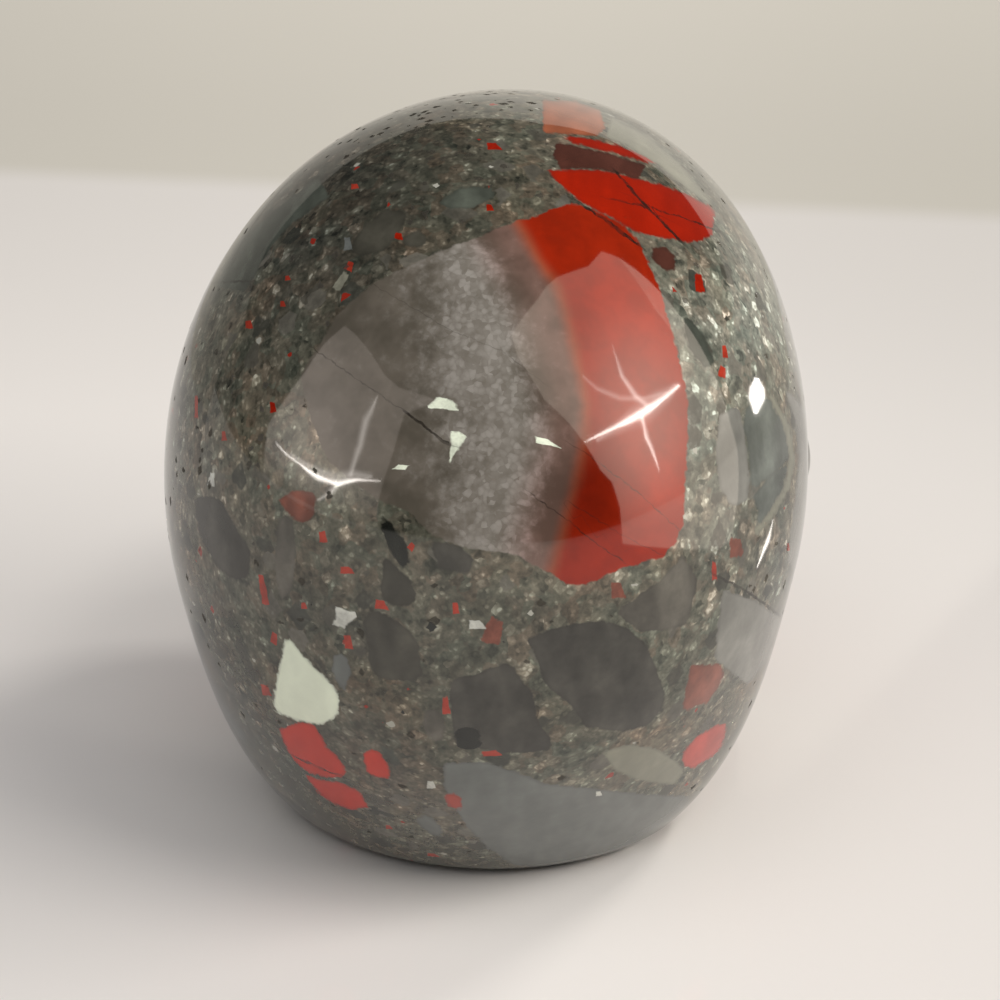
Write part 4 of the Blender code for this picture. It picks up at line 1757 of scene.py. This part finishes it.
GLINTS = (
    Glint("star_arm", ((584, 442), (615, 427), (641, 414), (659, 401), (680, 385)),
          (0.5, 2.6, 6.0, 4.6, 2.0), 30.0),
    Glint("star_glow", ((596, 440), (620, 426), (641, 413), (660, 400), (676, 384)),
          (4.0, 9.0, 15.0, 12.0, 5.0), 5.0),
    Glint("star_wisp", ((583, 376), (598, 389), (620, 398), (645, 399), (672, 391)),
          (1.0, 3.0, 4.0, 4.0, 1.5), 4.0),
    Glint("star_leg", ((640, 412), (647, 438), (660, 472)), (4.4, 3.0, 0.6), 18.0),
    Glint("star_lift", ((613, 346), (622, 376), (636, 397), (650, 408)), (0.8, 3.2, 4.4, 3.0), 9.0),
    Glint("arc", ((276, 441), (286, 453), (301, 465), (320, 478), (339, 484), (356, 480), (379, 481)),
          (0.5, 1.5, 2.0, 3.2, 4.2, 3.0, 1.0), 32.0),
    Glint("arc_glow", ((290, 452), (312, 468), (336, 477), (356, 474), (372, 476)),
          (2.0, 5.0, 8.0, 7.0, 2.5), 4.5),
    Glint("arc_lift", ((350, 476), (360, 446), (366, 419), (378, 395)), (3.4, 5.6, 5.2, 1.8), 5.0),
    Glint("arc_drop", ((339, 482), (331, 492), (318, 500)), (3.0, 3.2, 1.0), 9.0),
    Glint("side_spot", ((757, 379), (757, 389), (757, 399), (756, 413)), (3.5, 8.5, 9.0, 3.5), 80.0),
    Glint("side_streak", ((773, 520), (768, 541), (757, 568)), (0.8, 2.6, 0.8), 14.0, 0.06),
)


@dataclass
class Mirroring:
    """Finds where light must stand for the stone to mirror it at a pixel of the photograph."""

    view: PhotoView
    stone: bpy.types.Object

    def __post_init__(self) -> None:
        """Prepare the stone's surface for rays."""
        mesh = self.stone.data
        self.normals = vertex_normals(mesh)
        self.places = coordinates(mesh)
        self.faces = [tuple(polygon.vertices) for polygon in mesh.polygons]
        self.tree = BVHTree.FromPolygons([tuple(place) for place in self.places], self.faces)

    def bounce(self, pixel: tuple[float, float]) -> tuple[np.ndarray, np.ndarray]:
        """Where a pixel's ray meets the stone, and the direction in which it is mirrored."""
        direction = self.view.ray(pixel)
        hit, _, face, _ = self.tree.ray_cast(Vector(self.view.eye()), Vector(direction))
        corners = list(self.faces[face])
        apart = np.linalg.norm(self.places[corners] - np.array(hit), axis=1)
        weights = 1 / np.maximum(apart, NEAREST_CORNER)
        normal = weights @ self.normals[corners]
        normal /= np.linalg.norm(normal)
        return np.array(hit), direction - 2 * (direction @ normal) * normal

    def panel(
        self, name: str, pixels: Pixels, faces: list[list[int]], distance: float
    ) -> bpy.types.Object:
        """A flat panel whose mirror image fills an outline of the photograph.

        Args:
            name: The panel's name.
            pixels: The corners of the panel's faces.
            faces: For each face, the places of its corners in pixels.
            distance: How far from the stone the panel stands.

        Returns:
            The panel, with no material yet.
        """
        bounces = [self.bounce(pixel) for pixel in pixels]
        facing = np.mean([direction for _, direction in bounces], axis=0)
        facing /= np.linalg.norm(facing)
        centre = np.mean([place for place, _ in bounces], axis=0) + facing * distance
        making = bmesh.new()
        corners = []
        for place, direction in bounces:
            reach = ((centre - place) @ facing) / (direction @ facing)
            corners.append(making.verts.new(place + direction * reach))
        for places in faces:
            making.faces.new([corners[place] for place in places])
        bmesh.ops.triangulate(making, faces=making.faces[:])
        mesh = bpy.data.meshes.new(name)
        making.to_mesh(mesh)
        making.free()
        panel = bpy.data.objects.new(name, mesh)
        panel.visible_camera = False
        panel.visible_diffuse = False
        panel.visible_shadow = False
        show_only_in(panel, self.stone)
        bpy.context.collection.objects.link(panel)
        return panel


@dataclass(frozen=True)
class Lamp:
    """A soft area light: the direction it shines from, its size and its power."""

    name: str
    azimuth: float
    elevation: float
    distance: float
    width: float
    height: float
    power: float
    colour: Colour

    def build(self, view: PhotoView) -> bpy.types.Object:
        """Make the light, aimed at the stone and left out of its reflections."""
        light = bpy.data.lights.new(self.name, "AREA")
        light.shape = "RECTANGLE"
        light.size = self.width
        light.size_y = self.height
        light.energy = self.power
        light.color = self.colour
        lamp = bpy.data.objects.new(self.name, light)
        outward = Vector(view.outward(self.azimuth, self.elevation))
        lamp.location = Vector(view.target) + outward * self.distance
        lamp.rotation_mode = "QUATERNION"
        lamp.rotation_quaternion = outward.to_track_quat("Z", "Y")
        lamp.visible_glossy = False
        lamp.visible_camera = False
        bpy.context.collection.objects.link(lamp)
        return lamp


LAMPS = (
    Lamp("window_light", 257.0, 35.0, 1.20, 0.95, 0.16, 7.8, (1.0, 0.96, 0.91)),
    Lamp("high_light", 240.0, 58.0, 1.20, 0.45, 0.20, 2.0, (1.0, 0.96, 0.91)),
    Lamp("side_light", 308.0, 44.0, 1.20, 0.24, 0.10, 3.3, (1.0, 0.96, 0.91)),
    Lamp("ceiling_fill", 178.0, 58.0, 1.60, 1.60, 1.40, 9.4, (0.98, 0.98, 1.0)),
    Lamp("left_fill", 115.0, 40.0, 1.60, 1.20, 0.90, 1.1, (0.98, 0.99, 1.0)),
)

# The top of the pale wall behind the stone: bearing in degrees from +Y towards +X, and height
WALL_TOP: tuple[Span, ...] = (
    (117.0, 0.64), (122.0, 0.70), (134.0, 0.78), (144.0, 1.10), (155.0, 1.38),
    (167.0, 1.58), (176.0, 1.70), (184.0, 1.62), (191.0, 1.10), (200.0, 0.72), (220.0, 0.66),
    (248.0, 0.62),
)


@dataclass(frozen=True)
class Studio:
    """Table, backdrop, world, lights and mirrored panels."""

    table_half: float = 3.0
    table_sides: int = 64
    table_colour: Colour = (0.91, 0.872, 0.834)
    far_colour: Colour = (0.665, 0.633, 0.558)
    far_line: float = -0.174
    far_soft: float = 0.014
    table_roughness: float = 0.06
    table_ior: float = 1.36
    # Painted light fall-off in the table's colour: by depth, in its far part, and across
    painted_depth_light: Ramp = (-0.17, 0.0, 0.86, 1.0)
    painted_far_light: Ramp = (-0.45, -0.19, 1.22, 0.96)
    painted_side_light: Ramp = (-0.10, 0.03, 0.84, 1.0)
    wall_distance: float = 3.0
    wall_glow: Colour = (0.62, 0.58, 0.51)
    wall_fade: Ramp = (0.2, 2.4, 1.0, 0.45)
    room_light: Colour = (0.200, 0.200, 0.205)
    room_mirrored: Colour = (0.045, 0.045, 0.045)
    room_seen: Colour = (0.60, 0.57, 0.51)
    rim_height: float = 0.9
    rim_bearings: Span = (248.0, 477.0)
    rim_points: int = 96
    glint_colour: Colour = (1.0, 0.93, 0.86)
    glint_softness: float = 1.4

    def table(self) -> bpy.types.Object:
        """The pale glossy table that the stone stands on."""
        making = bmesh.new()
        bmesh.ops.create_circle(making, cap_ends=True, radius=self.table_half, segments=self.table_sides)
        table = self.stage_piece("table", making)
        material = bpy.data.materials.new("table")
        material.use_nodes = True
        wiring = Wiring(material.node_tree)
        place = wiring.add("ShaderNodeTexCoord").outputs["Object"]
        parts = wiring.add("ShaderNodeSeparateXYZ", {0: place})
        depth = parts.outputs[1]
        # Painted light: the table's colour darker towards -X and towards the back, its far part lighter
        # further back
        across = wiring.grey(wiring.ramp(parts.outputs[0], *self.painted_side_light))
        near = wiring.ramp(depth, self.far_line - self.far_soft, self.far_line)
        painted_depth_grey = wiring.grey(wiring.ramp(depth, *self.painted_depth_light))
        painted_far_grey = wiring.grey(wiring.ramp(depth, *self.painted_far_light))
        table_colour = wiring.times(self.table_colour, painted_depth_grey)
        far_colour = wiring.times(self.far_colour, painted_far_grey)
        colour = wiring.times(wiring.mix(near, far_colour, table_colour), across)
        gloss = {"Roughness": self.table_roughness, "IOR": self.table_ior}
        surface = wiring.add("ShaderNodeBsdfPrincipled", {"Base Color": colour, **gloss})
        wiring.add("ShaderNodeOutputMaterial", {"Surface": surface.outputs[0]})
        table.data.materials.append(material)
        return table

    def stage_piece(self, name: str, making: bmesh.types.BMesh) -> bpy.types.Object:
        """Turn a mesh in the making into an object of the stage."""
        mesh = bpy.data.meshes.new(name)
        making.to_mesh(mesh)
        making.free()
        piece = bpy.data.objects.new(name, mesh)
        bpy.context.collection.objects.link(piece)
        return piece

    def upright_band(self, name: str, top: tuple[Span, ...]) -> bpy.types.Object:
        """An upright band far around the stone, from the bearings and heights of its top."""
        making = bmesh.new()
        rows = []
        for bearing, height in top:
            angle = math.radians(bearing)
            x, y = self.wall_distance * math.sin(angle), self.wall_distance * math.cos(angle)
            rows.append((making.verts.new((x, y, 0.0)), making.verts.new((x, y, height))))
        for first, second in zip(rows[:-1], rows[1:]):
            making.faces.new((first[0], first[1], second[1], second[0]))
        return self.stage_piece(name, making)

    def wall(self) -> None:
        """A low pale wall far behind the stone, whose top shows as a line near the stone's rim."""
        wall = self.upright_band("wall", WALL_TOP)

        def strength(wiring: Wiring) -> Socket:
            """The wall's light falls off towards +X."""
            place = wiring.add("ShaderNodeTexCoord").outputs["Object"]
            side = wiring.add("ShaderNodeSeparateXYZ", {0: place}).outputs[0]
            return wiring.ramp(side, *self.wall_fade)

        wall.data.materials.append(glow_material("wall", self.wall_glow, strength, overlaid=False))

    def rim(self, table: bpy.types.Object) -> None:
        """A pale rim around the rest of the room, which the table mirrors and the stone doesn't."""
        bearings = np.linspace(*self.rim_bearings, self.rim_points)
        rim = self.upright_band("rim", tuple((bearing, self.rim_height) for bearing in bearings))
        rim.visible_diffuse = False
        rim.visible_shadow = False
        show_only_in(rim, table)

        def strength(wiring: Wiring) -> Socket:
            """The camera itself doesn't see the rim."""
            seen = wiring.add("ShaderNodeLightPath").outputs["Is Camera Ray"]
            return wiring.maths("SUBTRACT", 1.0, seen)

        rim.data.materials.append(glow_material("rim", self.room_seen, strength))

    def world(self) -> None:
        """A dim even room around everything."""
        world = bpy.data.worlds.new("room")
        world.use_nodes = True
        wiring = Wiring(world.node_tree)
        path = wiring.add("ShaderNodeLightPath")
        colour = wiring.mix(path.outputs["Is Glossy Ray"], self.room_light, self.room_mirrored)
        colour = wiring.mix(path.outputs["Is Camera Ray"], colour, self.room_seen)
        background = wiring.add("ShaderNodeBackground", {"Color": colour, "Strength": 1.0})
        wiring.add("ShaderNodeOutputWorld", {"Surface": background.outputs[0]})
        bpy.context.scene.world = world

    def panels(self, mirroring: Mirroring) -> None:
        """The soft windows and thin lights that the stone mirrors."""
        for window in (RIGHT_WINDOW, LEFT_WINDOW):
            whole = [list(range(len(window.outline)))]
            panel = mirroring.panel(window.name, window.outline, whole, window.distance)
            panel.data.materials.append(self.window_material(window, mirroring))
        for glint in GLINTS:
            corners, faces, glow = strip(glint)
            panel = mirroring.panel(glint.name, corners, faces, glint.distance)
            store_value(panel.data, "glow", glow)
            panel.data.materials.append(self.glint_material(glint))

    def glint_material(self, glint: Glint) -> bpy.types.Material:
        """Light that fades from a glint's middle line to its edges."""

        def strength(wiring: Wiring) -> Socket:
            """Full strength on the middle line, in the stone alone."""
            soft = wiring.maths("POWER", wiring.stored("glow"), self.glint_softness)
            return wiring.product(soft, glint.strength, first_mirror(wiring))

        return glow_material(glint.name, self.glint_colour, strength)

    def window_material(self, window: Reflection, mirroring: Mirroring) -> bpy.types.Material:
        """Light that fades from the window's bright place outwards."""
        ends = []
        for pixel in (window.dim_at, window.bright_at):
            place, direction = mirroring.bounce(pixel)
            ends.append(place + direction * window.distance)
        dim_at, bright_at = ends
        reach = float(np.linalg.norm(bright_at - dim_at))

        def strength(wiring: Wiring) -> Socket:
            """Strongest at the bright place, weaker low down, in the stone alone."""
            place = wiring.add("ShaderNodeTexCoord").outputs["Object"]
            away = wiring.add(
                "ShaderNodeVectorMath", {0: place, 1: tuple(bright_at)}, operation="DISTANCE"
            ).outputs["Value"]
            fading = wiring.ramp(away, 0.0, reach, window.strength, window.far_strength)
            height = wiring.add("ShaderNodeSeparateXYZ", {0: place}).outputs[2]
            return wiring.product(fading, wiring.ramp(height, *window.low_fade), first_mirror(wiring))

        return glow_material(window.name, window.colour, strength)

    def build(self, view: PhotoView, stone: bpy.types.Object) -> None:
        """Set up everything around the stone."""
        self.world()
        table = self.table()
        self.wall()
        self.rim(table)
        for lamp in LAMPS:
            lamp.build(view)
        self.panels(Mirroring(view, stone))
        bpy.context.scene.view_settings.view_transform = "Standard"
        bpy.context.scene.view_settings.look = "None"


def strip(glint: Glint) -> tuple[Pixels, list[list[int]], np.ndarray]:
    """A thin strip around a glint's route.

    Args:
        glint: The route and its half widths.

    Returns:
        The strip's corners in pixels, its four-sided faces, and one for each corner on the middle line.
    """
    route = np.array(glint.route, dtype=float)
    runs = np.gradient(route, axis=0)
    across = np.stack([-runs[:, 1], runs[:, 0]], axis=1)
    across /= np.linalg.norm(across, axis=1)[:, None]
    offsets = across * np.array(glint.widths)[:, None]
    rows = np.concatenate([route + offsets, route, route - offsets])
    count = len(route)
    faces = []
    for row in (0, count):
        for at in range(row, row + count - 1):
            faces.append([at, at + 1, at + 1 + count, at + count])
    on_line = np.repeat((0.0, 1.0, 0.0), count)
    return tuple(tuple(corner) for corner in rows), faces, on_line


def glow_material(
    name: str, colour: Colour, strength: Callable[[Wiring], Socket], overlaid: bool = True
) -> bpy.types.Material:
    """A glowing material.

    Args:
        name: The material's name.
        colour: The colour of its light.
        strength: Wires up how strong the light is.
        overlaid: True for light that is laid over what lies behind it.

    Returns:
        The material.
    """
    material = bpy.data.materials.new(name)
    material.use_nodes = True
    material.cycles.emission_sampling = "NONE"
    wiring = Wiring(material.node_tree)
    power = strength(wiring)
    glow = wiring.add("ShaderNodeEmission", {"Color": with_alpha(colour), "Strength": power}).outputs[0]
    if overlaid:
        clear = wiring.add("ShaderNodeBsdfTransparent").outputs[0]
        glow = wiring.add("ShaderNodeAddShader", {0: glow, 1: clear}).outputs[0]
    wiring.add("ShaderNodeOutputMaterial", {"Surface": glow})
    return material


def first_mirror(wiring: Wiring) -> Socket:
    """One for rays that were mirrored once, and nought for those mirrored again by the table."""
    depth = wiring.add("ShaderNodeLightPath").outputs["Glossy Depth"]
    return wiring.maths("LESS_THAN", depth, BETWEEN_MIRRORS)


def show_only_in(light: bpy.types.Object, receiver: bpy.types.Object) -> None:
    """Let a glowing object light or show in one other object alone."""
    shows_in = bpy.data.collections.new(f"{light.name}_shows_in")
    shows_in.objects.link(receiver)
    light.light_linking.receiver_collection = shows_in


def main() -> None:
    """Build the camera, the stone and the studio, in that order."""
    logging.basicConfig(level=logging.INFO, format="%(message)s")
    view = PhotoView()
    view.build()
    LOG.info("camera at %s", np.round(view.eye(), 4).tolist())
    stone = SkullCarving(view).build()
    LOG.info("%s: %d faces", stone.name, len(stone.data.polygons))
    Studio().build(view, stone)
    LOG.info("studio built with %d lamps and %d glints", len(LAMPS), len(GLINTS))


if __name__ == "__main__":
    main()
